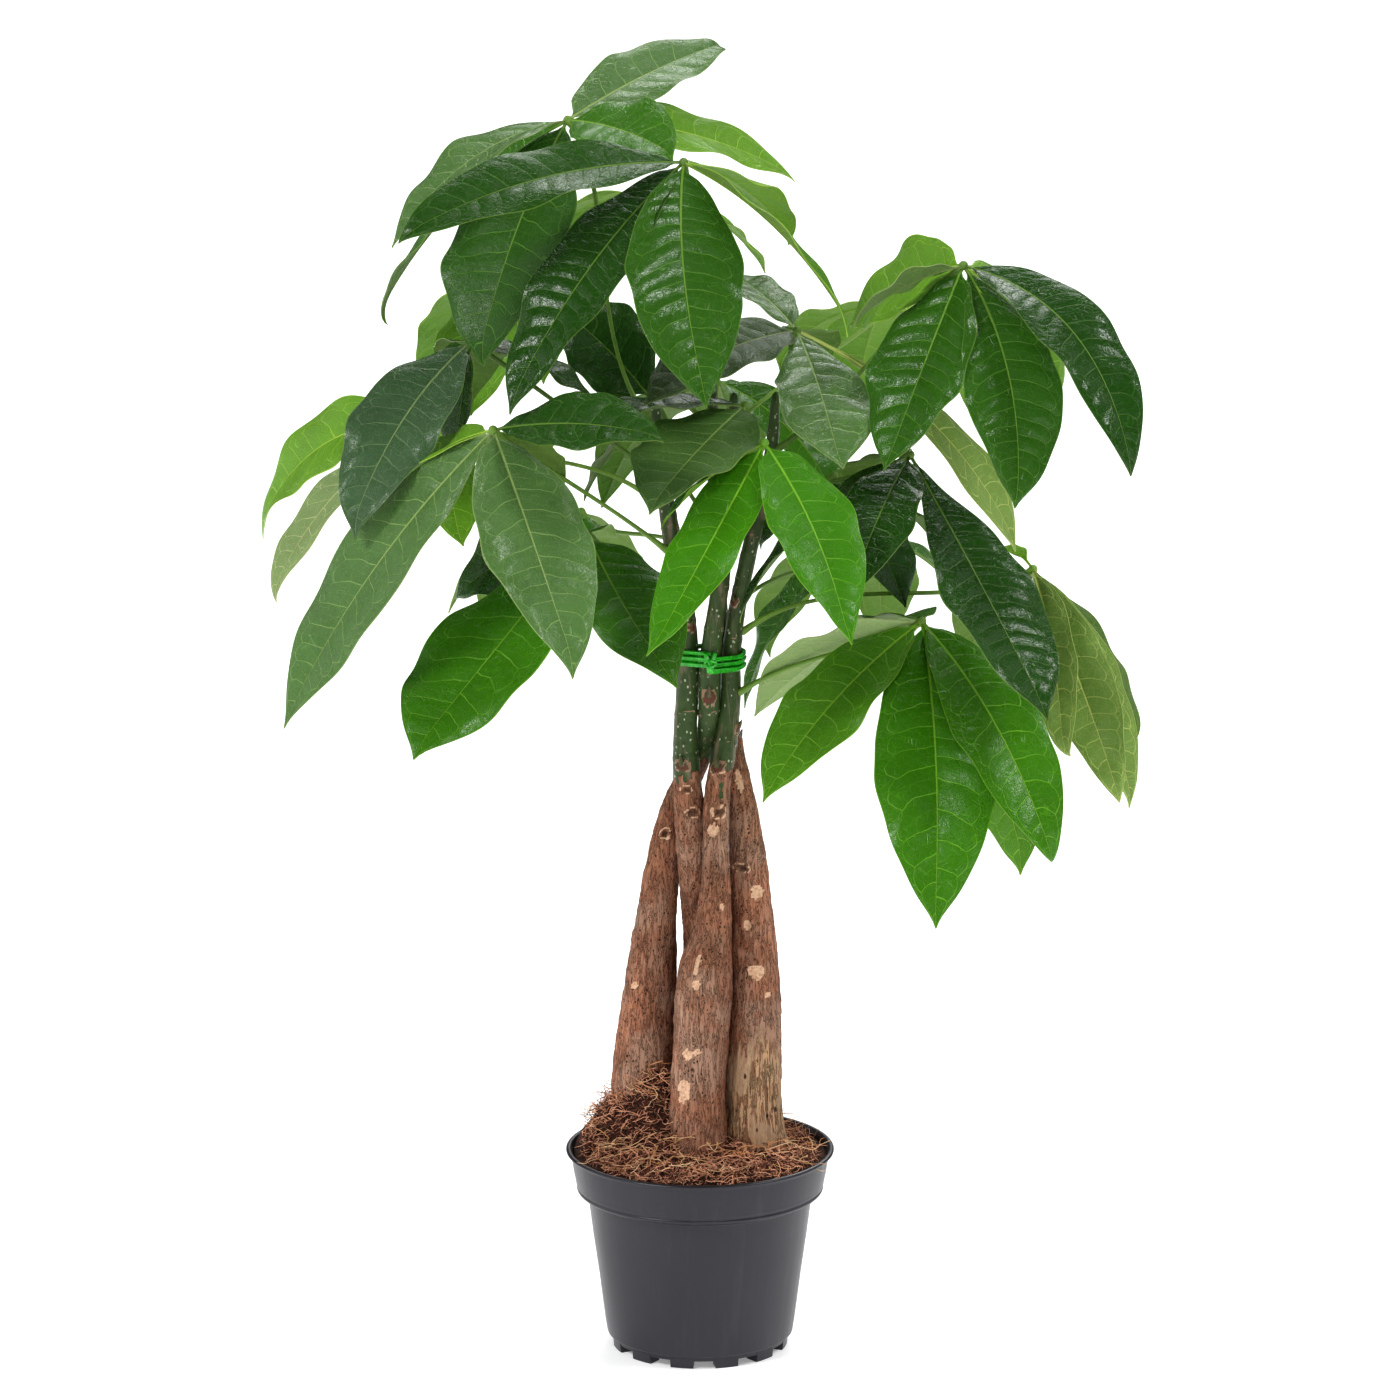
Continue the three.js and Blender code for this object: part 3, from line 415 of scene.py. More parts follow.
def tube_grid(path, radii, sides, lobes=0, lobe_depth=0.0, twist=0.0):
    """Rings square to a path of points, without twisting more than asked."""
    path = np.asarray(path, float)
    along = unit(np.gradient(path, axis=0))
    across = np.cross((0.0, 0.0, 1.0), along[0])
    if np.linalg.norm(across) < 0.1:
        across = np.array((1.0, 0.0, 0.0))
    turn = turns(sides)
    cosine, sine = np.cos(turn)[:, None], np.sin(turn)[:, None]
    rings = []
    for index, (point, way) in enumerate(zip(path, along)):
        across = across - way * across.dot(way)
        across /= np.linalg.norm(across)
        up = np.cross(way, across)
        radius = radii[index] * (1 + lobe_depth * np.cos(lobes * turn + twist * index))
        rings.append(point + radius[:, None] * (cosine * across + sine * up))
    return np.array(rings)


# ---- node trees ----
def colour(value):
    return (*value, 1.0) if isinstance(value, tuple) and len(value) == 3 else value


def operator(kind, swapped=False):
    def apply(field, other):
        return field.wiring.math(kind, *((other, field) if swapped else (field, other)))
    return apply


class Field:
    """A value in a node tree. Sums, products and so on of fields become nodes."""

    def __init__(self, wiring, socket):
        self.wiring, self.socket = wiring, socket

    __add__, __radd__ = operator("ADD"), operator("ADD", swapped=True)
    __sub__, __rsub__ = operator("SUBTRACT"), operator("SUBTRACT", swapped=True)
    __mul__, __truediv__, __pow__ = operator("MULTIPLY"), operator("DIVIDE"), operator("POWER")

    def __abs__(self):
        return self.wiring.math("ABSOLUTE", self)


class Wiring:
    """Short calls for the nodes of one tree."""

    def __init__(self, tree):
        self.tree = tree

    def feed(self, socket, value):
        if isinstance(value, Field):
            self.tree.links.new(value.socket, socket)
        elif value is not None:
            socket.default_value = colour(value) if socket.type == "RGBA" else value

    def fields(self, sockets):
        return {socket.name: Field(self, socket) for socket in sockets}

    def add(self, kind, values=(), output=0, **settings):
        """A new node's output, once its settings and its inputs, by place or name, are given."""
        made = self.tree.nodes.new(kind)
        for name, value in settings.items():
            setattr(made, name, value)
        if not isinstance(values, dict):
            values = dict(enumerate(values))
        for key, value in values.items():
            self.feed(made.inputs[key], value)
        return Field(self, made.outputs[output])

    def math(self, operation, *values, clamp=False):
        return self.add("ShaderNodeMath", values, operation=operation, use_clamp=clamp)

    def vector(self, operation, *values):
        return self.add("ShaderNodeVectorMath", values, operation=operation)

    def joined(self, x=0.0, y=0.0, z=0.0):
        return self.add("ShaderNodeCombineXYZ", (x, y, z))

    def parts(self, vector):
        x = self.add("ShaderNodeSeparateXYZ", (vector,))
        return list(self.fields(x.socket.node.outputs).values())

    def ramp(self, value, low, high, out_low=0.0, out_high=1.0):
        return self.add("ShaderNodeMapRange", (value, low, high, out_low, out_high),
                        interpolation_type="SMOOTHSTEP")

    def noise(self, vector, scale, detail=4.0, roughness=0.6, distortion=0.0):
        values = {"Vector": vector, "Scale": scale, "Detail": detail, "Roughness": roughness,
                  "Distortion": distortion}
        return self.add("ShaderNodeTexNoise", values, "Fac")

    def cells(self, vector, scale, feature="F1"):
        values = {"Vector": vector, "Scale": scale}
        return self.add("ShaderNodeTexVoronoi", values, "Distance", feature=feature)

    def net(self, vector, scale, wide, narrow):
        return self.ramp(self.cells(vector, scale, "DISTANCE_TO_EDGE"), wide, narrow)

    def mix(self, factor, first, second, blend="MIX"):
        return self.add("ShaderNodeMix", {0: factor, 6: first, 7: second}, 2, data_type="RGBA",
                        blend_type=blend)

    def layers(self, base, *coats):
        """Coats of (mask, colour) over a base, one on the other."""
        for mask, tint in coats:
            base = self.mix(mask, base, tint)
        return base

    def brighter(self, tone, gain, more):
        return self.mix(1.0, self.mix(1.0, tone, gain, "MULTIPLY"), more, "ADD")

    def attribute(self, name):
        return self.add("ShaderNodeAttribute", output="Vector", attribute_type="GEOMETRY",
                        attribute_name=name)

    def place(self, *stretch):
        """The object's own coordinates, stretched along the axes when asked."""
        own = self.add("ShaderNodeTexCoord", output="Object")
        return self.vector("MULTIPLY", own, stretch) if stretch else own

    def patches(self, scale, low, high, strength=1.0, detail=3.0, roughness=0.6):
        noisy = self.noise(self.place(), scale, detail, roughness)
        return self.ramp(noisy, low, high, 0.0, strength)

    def dots(self, flatness, scale, size, *patches):
        """Small spots that lie in patches."""
        spots = self.ramp(self.cells(self.place(1.0, 1.0, flatness), scale), *size)
        return spots * self.patches(*patches, detail=2.0)

    def group(self, tree, **values):
        named = {name.replace("_", " "): value for name, value in values.items()}
        return self.fields(self.add("ShaderNodeGroup", named, node_tree=tree).socket.node.outputs)

    def mottled(self, tint, scale, depth, fleck_scale, fleck_depth):
        """The mottled colour, its patches and its flecks."""
        return self.group(MOTTLE, Place=self.place(), Colour=tint, Scale=scale, Depth=depth,
                          Fleck_scale=fleck_scale, Fleck_depth=fleck_depth).values()


class Look(Wiring):
    """A material with one Principled shader, whose plain values are set on its own sockets."""

    def __init__(self, name, **values):
        self.material = bpy.data.materials.new(name)
        self.material.use_nodes = True
        super().__init__(self.material.node_tree)
        nodes = self.material.node_tree.nodes
        self.shader = next(node for node in nodes if node.type == "BSDF_PRINCIPLED").inputs
        for label, value in values.items():
            self.feed(self.shader[label.replace("_", " ")], value)

    def dress(self, base, rough, height, distance, strength):
        """Gives the shader its colour, roughness and relief, and returns the material."""
        relief = {"Strength": strength, "Distance": distance, "Height": height}
        self.feed(self.shader["Base Color"], base)
        self.feed(self.shader["Roughness"], rough)
        self.feed(self.shader["Normal"], self.add("ShaderNodeBump", relief))
        return self.material


def new_group(name, build, inputs, outputs, kind="ShaderNodeTree"):
    """A group whose outputs are what build makes from its inputs, each given by name and type."""
    tree = bpy.data.node_groups.new(name, kind)
    for label, (socket_type, default) in inputs.items():
        socket = tree.interface.new_socket(label, in_out="INPUT",
                                           socket_type="NodeSocket" + socket_type)
        if default is not None:
            socket.default_value = colour(default)
    for label, socket_type in outputs.items():
        tree.interface.new_socket(label, in_out="OUTPUT", socket_type="NodeSocket" + socket_type)
    w = Wiring(tree)
    made = build(w, w.fields(tree.nodes.new("NodeGroupInput").outputs))
    result = tree.nodes.new("NodeGroupOutput").inputs
    for label, value in zip(outputs, made):
        w.feed(result[label], value)
    return tree


def leaf_veins(w, given):
    """Midrib, looping side veins and the fine net between them, from a leaflet's own places.

    Place holds cm along, cm across and the share of the half width; Form holds the share of the
    length, the number of side veins and their wander.
    """
    along, across, side = w.parts(given["Place"])
    share, count, wander = w.parts(given["Form"])
    off, away = abs(side), abs(across)
    thin = w.ramp(share, 0.0, 1.0, 0.085, 0.018)
    midrib = w.ramp(away, thin * 1.35, thin * 0.55)
    # Side veins leave the midrib at an angle and sweep forward towards the margin into loops.
    spot = w.joined(along, across, wander)
    unrest = w.noise(spot, 0.55, 2.0, 0.5) - 0.5
    pace = along / w.math("MAXIMUM", share * count, 0.02)
    half = away / w.math("MAXIMUM", off, 0.02)
    phase = share * count - (away * VEIN_LEAN / pace + off ** 3.0 * VEIN_SWEEP)
    phase = phase + (wander + unrest * 0.4) + w.math("SIGN", side) * VEIN_OFFSET

    def step_and_gap(value):
        """The share of the way from one line to the next, and the cm to the nearest one."""
        step = w.math("FRACT", value)
        return step, w.math("MINIMUM", step, 1.0 - step) * pace

    step, gap = step_and_gap(phase)
    broad = w.ramp(off, 0.0, 0.95, 0.04, 0.022)
    # Each side vein arches over to the next one; smaller arches stand outside the large ones.
    swell = w.math("SINE", step * math.pi)
    beyond = off - (0.68 + unrest * 0.3 + swell * 0.14)
    hoop = w.ramp(abs(beyond) * half, 0.042, 0.014)
    line = w.ramp(gap, broad * 1.5, broad * 0.5) * w.ramp(beyond, 0.05, -0.02)
    small_step, small_gap = step_and_gap(phase * 2.0)
    outer = off - (0.84 + w.math("SINE", small_step * math.pi) * 0.08)
    small_hoop = w.ramp(abs(outer) * half, 0.03, 0.008)
    spoke = w.ramp(small_gap, 0.05, 0.015) * w.ramp(beyond, -0.01, 0.02)
    spoke = spoke * w.ramp(outer, 0.02, -0.02)
    loops = w.math("MAXIMUM", hoop, w.math("MAXIMUM", small_hoop, spoke) * 0.5)
    # Thinner veins half way between, which fade towards the loops.
    between = w.ramp(step_and_gap(phase + 0.5)[1], 0.024, 0.008) * w.ramp(off, 0.5, 0.2)
    lines = w.math("MAXIMUM", w.math("MAXIMUM", line, loops * 0.8), between * 0.45)
    net = w.math("MAXIMUM", w.net(spot, 1.9, 0.055, 0.012), w.net(spot, 6.5, 0.09, 0.02) * 0.45)
    return midrib, lines, net, swell * w.ramp(off, 1.0, 0.75), w.ramp(off, 0.972, 0.995)


def mottling(w, given):
    """Uneven colour: broad patches and small flecks, each with its own strength."""
    patches = w.noise(given["Place"], given["Scale"], 5.0)
    flecks = w.noise(given["Place"], given["Fleck scale"], 3.0, 0.7)
    light = 1.0 + (patches - 0.5) * (given["Depth"] * 2.4)
    light = light * (1.0 + (flecks - 0.5) * (given["Fleck depth"] * 2.4))
    return w.vector("MULTIPLY", given["Colour"], w.joined(light, light, light)), patches, flecks


VEINS = new_group(
    "leaf veins", leaf_veins, {"Place": ("Vector", None), "Form": ("Vector", None)},
    dict.fromkeys(("Midrib", "Side veins", "Net", "Quilt", "Margin"), "Float"))
MOTTLE = new_group(
    "mottling", mottling,
    {"Place": ("Vector", None), "Colour": ("Color", (0.5, 0.5, 0.5)), "Scale": ("Float", 30.0),
     "Depth": ("Float", 0.25), "Fleck scale": ("Float", 400.0), "Fleck depth": ("Float", 0.1)},
    {"Colour": "Color", "Patches": "Float", "Flecks": "Float"})


def leaf_look(name, mottle, **values):
    """What the two sides of a leaf share: the look, the leaflet's tone, its ground and veins."""
    w = Look(name, IOR=1.42, **values)
    tone = w.attribute("leaf_tone")
    vein = w.group(VEINS, Place=w.attribute("leaf_place"), Form=w.attribute("leaf_form"))
    return w, tone, *w.mottled(tone, *mottle), *vein.values()


def leaf_upper_material():
    w, tone, ground, patches, flecks, midrib, lines, net, quilt, margin = leaf_look(
        "leaf upper side", (34.0, 0.22, 900.0, 0.12), Specular_IOR_Level=0.42,
        Subsurface_Scale=0.003, Subsurface_Radius=(0.4, 1.0, 0.1), Subsurface_Weight=0.06)
    gloss, clear, depth = w.parts(w.attribute("leaf_finish"))
    paler = w.brighter(tone, (2.2, 1.6, 2.2), (0.052, 0.092, 0.02))
    rib = w.brighter(tone, (2.6, 1.7, 2.4), (0.1, 0.15, 0.03))
    base = w.layers(ground, (net * (clear * 0.22), paler), (lines * (clear * 0.95), paler),
                    (midrib * 0.9, rib), (margin * 0.45, rib))
    rough = 0.4 - gloss * 0.23 + (patches - 0.5) * 0.2
    rough = w.math("ADD", rough, midrib * 0.12, clamp=True)
    sunk = quilt * depth - lines * 0.55 - midrib * 0.7 - net * 0.45
    sunk = sunk + flecks * 0.06 + w.noise(w.place(), 110.0) * 1.1
    return w.dress(base, rough, sunk, 0.0008, 0.8)


def leaf_under_material():
    w, tone, ground, patches, _, midrib, lines, net, quilt, _ = leaf_look(
        "leaf underside", (30.0, 0.16, 1100.0, 0.12), Specular_IOR_Level=0.3,
        Subsurface_Scale=0.004, Subsurface_Radius=(0.5, 1.0, 0.2), Subsurface_Weight=0.15)
    paler = w.brighter(tone, (1.35, 1.25, 1.3), (0.05, 0.06, 0.02))
    base = w.layers(ground, (net * 0.3, paler), (lines * 0.75, paler), (midrib * 0.9, paler))
    raised = lines * 0.7 + midrib * 0.5 + net * 0.22 - quilt * 0.4
    return w.dress(base, 0.5 + patches * 0.2, raised, 0.0006, 0.8)


def leaf_stalk_material():
    w = Look("leaf stalk", IOR=1.45, Coat_Weight=0.1, Coat_Roughness=0.3)
    ground, _, flecks = w.mottled(w.attribute("leaf_tone"), 60.0, 0.3, 700.0, 0.25)
    streak = w.noise(w.place(900.0, 900.0, 60.0), 1.0, 3.0)
    base = w.mix(w.ramp(streak, 0.58, 0.75, 0.0, 0.35), ground, (0.22, 0.25, 0.09))
    return w.dress(base, 0.4 + flecks * 0.2, streak, 0.0003, 0.5)


def bark_material():
    """Brown fissured bark, green shoot skin, pale scars and peeled fibres, mixed by attributes.

    bark_state holds how green, how scarred and how peeled the spot is; bark_mark holds the dark
    eye and the bud's red.
    """
    w = Look("bark and shoot", IOR=1.44, Specular_IOR_Level=0.3, Coat_Roughness=0.3)
    place = w.place()
    green, scar, peeled = w.parts(w.attribute("bark_state"))
    eye, bud, _ = w.parts(w.attribute("bark_mark"))
    scar = w.ramp(scar + (w.noise(place, 330.0, 3.0) - 0.5) * 0.5, 0.42, 0.54)
    greenness = w.ramp(green + (w.noise(place, 170.0, 4.0, 0.65) - 0.5) * 0.7, 0.46, 0.54)
    # brown bark
    tall = w.place(1.0, 1.0, 0.16)
    fissure = w.noise(tall, 470.0, 6.0, 0.7, 0.7)
    fine = w.noise(w.place(1.0, 1.0, 0.3), 1500.0, 4.0, 0.7)
    pores = w.dots(0.8, 330.0, (0.24, 0.13), 55.0, 0.44, 0.54)
    dashes = w.dots(2.6, 210.0, (0.16, 0.1), 40.0, 0.48, 0.6)
    brown, _, _ = w.mottled((0.36, 0.162, 0.095), 42.0, 0.7, 650.0, 0.35)
    bark = w.layers(
        brown,
        (w.patches(26.0, 0.42, 0.66, 0.75, 4.0, 0.55), (0.44, 0.282, 0.202)),
        (w.patches(70.0, 0.56, 0.72, 0.5), (0.32, 0.11, 0.06)),
        (w.ramp(abs(fissure - 0.47), 0.042, 0.008) * 0.92, (0.045, 0.019, 0.011)),
        (w.ramp(fissure, 0.42, 0.33) * 0.85, (0.04, 0.015, 0.008)),
        (w.ramp(fissure, 0.56, 0.74) * 0.7, (0.56, 0.37, 0.265)),
        (pores * 0.92, (0.022, 0.011, 0.008)),
        (dashes * 0.7, (0.56, 0.33, 0.21)))
    # peeled fibres
    strand = w.noise(w.place(1.0, 1.0, 0.1), 520.0, 5.0, 0.72, 0.8)
    bare = w.ramp(w.noise(w.place(1.0, 1.0, 0.6), 52.0, 3.0, 0.55), 0.5, 0.55)
    pits = w.dots(0.55, 170.0, (0.26, 0.14), 62.0, 0.5, 0.57)
    straw = w.layers(
        w.mix(w.ramp(strand, 0.32, 0.6), (0.22, 0.098, 0.047), (0.62, 0.385, 0.23)),
        (w.patches(75.0, 0.45, 0.62, 0.4), (0.4, 0.31, 0.18)),
        (w.ramp(abs(strand - 0.47), 0.048, 0.01, 0.0, 0.88), (0.07, 0.03, 0.015)),
        (bare * 0.7, (0.54, 0.362, 0.228)),
        (pits * 0.92, (0.028, 0.012, 0.006)))
    # scars and eyes
    flesh = w.mix(w.patches(500.0, 0.4, 0.75), (0.8, 0.53, 0.36), (0.48, 0.25, 0.15))
    bark = w.layers(bark, (peeled, straw), (scar, flesh), (eye, (0.04, 0.02, 0.012)))
    # green shoot
    specks = w.dots(0.7, 300.0, (0.24, 0.14), 90.0, 0.42, 0.5)
    corky = w.ramp(w.noise(tall, 160.0, 5.0, 0.65, 0.6), 0.52, 0.66)
    skin, _, _ = w.mottled((0.046, 0.08, 0.022), 55.0, 0.55, 500.0, 0.25)
    shoot = w.layers(skin, (specks * 0.85, (0.56, 0.59, 0.44)),
                     (corky * 0.75, (0.2, 0.15, 0.1)), (scar, (0.33, 0.2, 0.13)))
    base = w.layers(bark, (greenness, shoot), (bud, (0.13, 0.03, 0.018)))
    rough = w.math("SUBTRACT", 0.78 + (fine - 0.5) * 0.3, greenness * 0.34, clamp=True)
    w.feed(w.shader["Coat Weight"], greenness * 0.1)
    rind = fissure * 0.9 - pores * 0.4 + fine * 0.35 + strand * peeled * 1.2
    rind = rind * (1.0 - greenness * 0.8) + specks * greenness * 0.2
    return w.dress(base, rough, rind, 0.0014, 1.0)


def coir_material():
    w = Look("coir ground", IOR=1.4)
    ground, _, flecks = w.mottled((0.09, 0.034, 0.019), 70.0, 0.6, 520.0, 0.8)
    crumb = w.cells(w.place(), 420.0)
    # The near-black in the gaps between crumbs, where the relief also sinks, is painted shade.
    base = w.layers(ground, (w.ramp(crumb, 0.25, 0.6, 0.0, 0.7), (0.012, 0.005, 0.003)),
                    (w.patches(260.0, 0.6, 0.75, 0.6, 4.0, 0.7), (0.33, 0.16, 0.09)))
    return w.dress(base, 0.8 + flecks * 0.15, flecks - crumb, 0.0025, 0.9)


def fibre_material(name, dark, pale):
    w = Look(name, IOR=1.4)
    tint = w.mix(w.ramp(w.parts(w.attribute("strand"))[0], 0.15, 0.95), dark, pale)
    ground, _, flecks = w.mottled(tint, 160.0, 0.4, 1800.0, 0.4)
    return w.dress(ground, 0.6 + flecks * 0.3, flecks, 0.0002, 0.5)


def pot_material():
    w = Look("satin charcoal plastic", IOR=1.48)
    ground, _, flecks = w.mottled((0.021, 0.019, 0.027), 12.0, 0.1, 1400.0, 0.07)
    streak = w.noise(w.place(1.0, 1.0, 0.05), 90.0)
    on_collar = w.ramp(w.parts(w.place())[2], 0.1, 0.13)
    dust = w.patches(45.0, 0.56, 0.78, 1.0, 6.0, 0.7) * on_collar
    base = w.layers(ground, (dust * 0.22, (0.19, 0.16, 0.135)),
                    (w.ramp(streak, 0.5, 0.8, 0.0, 0.12), (0.11, 0.105, 0.115)))
    rough = 0.34 + (streak - 0.5) * 0.16 + (flecks - 0.5) * 0.1 + dust * 0.25
    return w.dress(base, rough, flecks * 0.5 + streak * 0.3, 0.00012, 0.6)


def tie_material():
    w = Look("shiny green tie", IOR=1.52, Coat_Weight=0.6, Coat_Roughness=0.08)
    ground, _, flecks = w.mottled((0.016, 0.42, 0.014), 220.0, 0.9, 900.0, 0.4)
    crease = w.noise(w.place(1.0, 1.0, 3.0), 420.0, 4.0, 0.6, 0.6)
    return w.dress(ground, 0.18 + flecks * 0.2, crease, 0.0006, 0.8)


# ---- pot ----
def rounded_profile(corners):
    """Corners (radius, height, rounding) joined with small curves."""
    made = []
    count = len(corners)
    for index, (radius, height, rounding) in enumerate(corners):
        here = np.array((radius, height), float)
        if rounding == 0 or index in (0, count - 1):
            made.append(here)
            continue
        before = np.array(corners[index - 1][:2], float) - here
        after = np.array(corners[index + 1][:2], float) - here
        start = here + before * min(rounding / np.linalg.norm(before), 0.48)
        end = here + after * min(rounding / np.linalg.norm(after), 0.48)
        for t in np.linspace(0, 1, 5):
            made.append((1 - t) ** 2 * start + 2 * t * (1 - t) * here + t * t * end)
    return np.array(made)


def make_pot():
    foot, body, collar, top = POT_BASE_RADIUS, POT_BODY_TOP_RADIUS, POT_COLLAR_BOTTOM, POT_HEIGHT
    inner_floor = POT_FLOOR + POT_FLOOR_THICKNESS
    profile = rounded_profile([
        (0.01, POT_FLOOR, 0), (20, POT_FLOOR, 0), (FOOT_INNER_RADIUS - 2, POT_FLOOR, 0.4),
        (FOOT_INNER_RADIUS, 0, 0.5), (foot, 0, 0.8), (foot + 0.6, 7.6, 0.5), (foot + 3, 8.4, 0.7),
        (foot + 3.4, 9.6, 0.5), (60.5, 18, 0), (64.3, 48, 0), (68.2, 75, 0),
        (body, collar - 2, 1.2), (77, collar, 0.9), (78.3, collar + 1.2, 0.6),
        (78.5, collar + 2.2, 0.5), (77.9, collar + 3.2, 0.4), (78.5, collar + 4.2, 0.5),
        (78.9, collar + 5.4, 0.4), (79, collar + 6.4, 0.4), (80.5, 116, 0), (82, top - 4, 0.8),
        (82.7, top - 2.6, 0.6), (85, top - 1.9, 0.8), (POT_RIM_RADIUS, top - 1.0, 0.6),
        (84.3, top, 0.9), (82.2, top, 0.9), (80.6, top - 2.6, 0.8), (77.6, collar + 6, 0.5),
        (76, collar + 2, 1.0), (body - POT_WALL, collar - 1, 1.2), (foot + 1.8, 10.4, 0.8),
        (foot - 1, inner_floor, 0.8), (20, inner_floor, 0), (0.01, inner_floor, 0),
    ])
    # Columns gather at the sides of the feet, so that each notch has upright sides.
    cell = TURN / FOOT_COUNT
    half_gap = FOOT_GAP / 2 / POT_BASE_RADIUS
    left, right = cell / 2 - half_gap, cell / 2 + half_gap
    local = np.concatenate([np.linspace(0, left - FOOT_SIDE, 7), np.linspace(left, right, 5),
                            np.linspace(right + FOOT_SIDE, cell, 7)[:-1]])
    turn = (math.radians(FOOT_PHASE) + np.arange(FOOT_COUNT)[:, None] * cell + local).ravel()
    notch = np.tile(np.isin(np.arange(len(local)), NOTCH_COLUMNS), FOOT_COUNT)
    radius, height = profile.T[..., None]
    pot = Gathered()
    pot.add_grid(around(radius, turn, np.maximum(height, notch * POT_FLOOR)))
    show(pot.to_object("pot_shell", [pot_material()], sharp=38), "pot_plastic", "pot")


# ---- coir ----
def soil_height(x, y):
    height = SOIL_LEVEL + SOIL_DOME * (1 - (np.hypot(x, y) / POT_RIM_RADIUS) ** 2)
    for heap_x, heap_y, tall, wide, steep in SOIL_HEAPS:
        away = np.hypot(x - heap_x, y - heap_y) / wide
        height = height + tall * np.exp(-(away ** (2 * steep)))
    return height


def soil_top_grid(rings, sectors):
    share = np.linspace(1, 0.004, rings) ** 0.85
    place = around(SOIL_RADIUS * share[:, None], turns(sectors))
    rough = 2.6 * fractal(place, 0.09, 4, 1.0) + 1.6 * fractal(place, 0.35, 3, 2.0)
    edge = smooth_step(0.0, 0.12, 1 - share)[:, None]
    level = soil_height(place[..., 0], place[..., 1]) - 1.5
    place[..., 2] = level + rough * edge + 0.9 * (1 - edge)
    return place


def make_soil():
    radius, height = np.array(SOIL_WALL).T[..., None]
    wall = around(radius, turns(SOIL_SECTORS), height)
    soil = Gathered()
    soil.add_grid(np.concatenate([wall, soil_top_grid(SOIL_RINGS, SOIL_SECTORS)]))
    show(soil.to_object("coir_ground", [coir_material()], sharp=180), "coir", "soil")


def strands(w, given, material):
    """Scatters curly strands over a surface, each its own length, bend and tint."""
    seed, length, tilt, curl = (given[name] for name in ("Seed", "Length", "Tilt", "Curl"))
    spots = w.add("GeometryNodeDistributePointsOnFaces",
                  {"Mesh": given["Geometry"], "Density": given["Density"], "Seed": seed},
                  distribute_method="RANDOM")
    chance = w.add("FunctionNodeRandomValue", {"Seed": seed}, data_type="FLOAT_VECTOR")
    spots = w.add("GeometryNodeStoreNamedAttribute",
                  {"Geometry": spots, "Name": "strand", "Value": chance},
                  data_type="FLOAT_VECTOR", domain="POINT")
    line = w.add("GeometryNodeCurvePrimitiveLine",
                 {"Start": w.joined(length * -0.5), "End": w.joined(length * 0.5)})
    line = w.add("GeometryNodeResampleCurve", {"Curve": line, "Count": given["Steps"]})
    least, most = w.joined(tilt * -1.0, tilt * -1.0), w.joined(tilt, tilt, TURN)
    spin = w.add("FunctionNodeRandomValue", {"Min": least, "Max": most, "Seed": seed + 5.0},
                 data_type="FLOAT_VECTOR")
    # Inputs 2 and 3 are the least and the most of a plain number, and output 1 is the number.
    size = w.add("FunctionNodeRandomValue", {2: 0.35, 3: 1.35, "Seed": seed + 9.0}, 1,
                 data_type="FLOAT")
    made = w.add("GeometryNodeInstanceOnPoints",
                 {"Points": spots, "Instance": line, "Rotation": spin, "Scale": size})
    made = w.add("GeometryNodeRealizeInstances", (made,))
    own = w.add("GeometryNodeInputNamedAttribute", {"Name": "strand"}, "Attribute",
                data_type="FLOAT_VECTOR")
    wave = w.add("ShaderNodeTexNoise",
                 {"Vector": w.add("GeometryNodeInputPosition"), "W": w.parts(own)[0] * 40.0,
                  "Scale": given["Curl scale"], "Detail": 1.5},
                 "Color", noise_dimensions="4D")
    drift = w.vector("SUBTRACT", wave, (0.5, 0.5, 0.36))
    drift = w.vector("MULTIPLY", drift, w.joined(curl, curl, curl * 0.7))
    drift = w.vector("ADD", drift, w.joined(0.0, 0.0, given["Lift"]))
    made = w.add("GeometryNodeSetPosition", {"Geometry": made, "Offset": drift})
    ring = w.add("GeometryNodeCurvePrimitiveCircle",
                 {"Resolution": given["Sides"], "Radius": given["Thickness"]})
    part = w.add("GeometryNodeSplineParameter", output="Factor")
    slim = 0.25 + ((1.0 - part) * part * 4.0) ** 0.4 * 0.75
    made = w.add("GeometryNodeCurveToMesh",
                 {"Curve": made, "Profile Curve": ring, "Scale": slim, "Fill Caps": True})
    made = w.add("GeometryNodeRealizeInstances", (made,))
    return [w.add("GeometryNodeSetMaterial", {"Geometry": made, "Material": material})]


def scatter_strands(name, emitter, material, sizes):
    inputs = {
        "Geometry": ("Geometry", None), "Density": ("Float", 1.0), "Length": ("Float", 0.02),
        "Thickness": ("Float", 0.0002), "Curl": ("Float", 0.006), "Curl scale": ("Float", 90.0),
        "Lift": ("Float", 0.001), "Tilt": ("Float", 0.4), "Seed": ("Int", 1), "Steps": ("Int", 8),
        "Sides": ("Int", 3),
    }
    tree = new_group(name, lambda w, given: strands(w, given, material), inputs,
                     {"Geometry": "Geometry"}, "GeometryNodeTree")
    carrier = placed(name + "_carrier", emitter)
    modifier = carrier.modifiers.new("strands", "NODES")
    modifier.node_group = tree
    for item in tree.interface.items_tree:
        if item.item_type == "SOCKET" and item.in_out == "INPUT" and item.name in sizes:
            modifier[item.identifier] = sizes[item.name]
    graph = bpy.context.evaluated_depsgraph_get()
    mesh = bpy.data.meshes.new_from_object(carrier.evaluated_get(graph))
    mesh.name = name
    carrier.modifiers.remove(modifier)
    bpy.data.objects.remove(carrier)
    return placed(name, mesh)


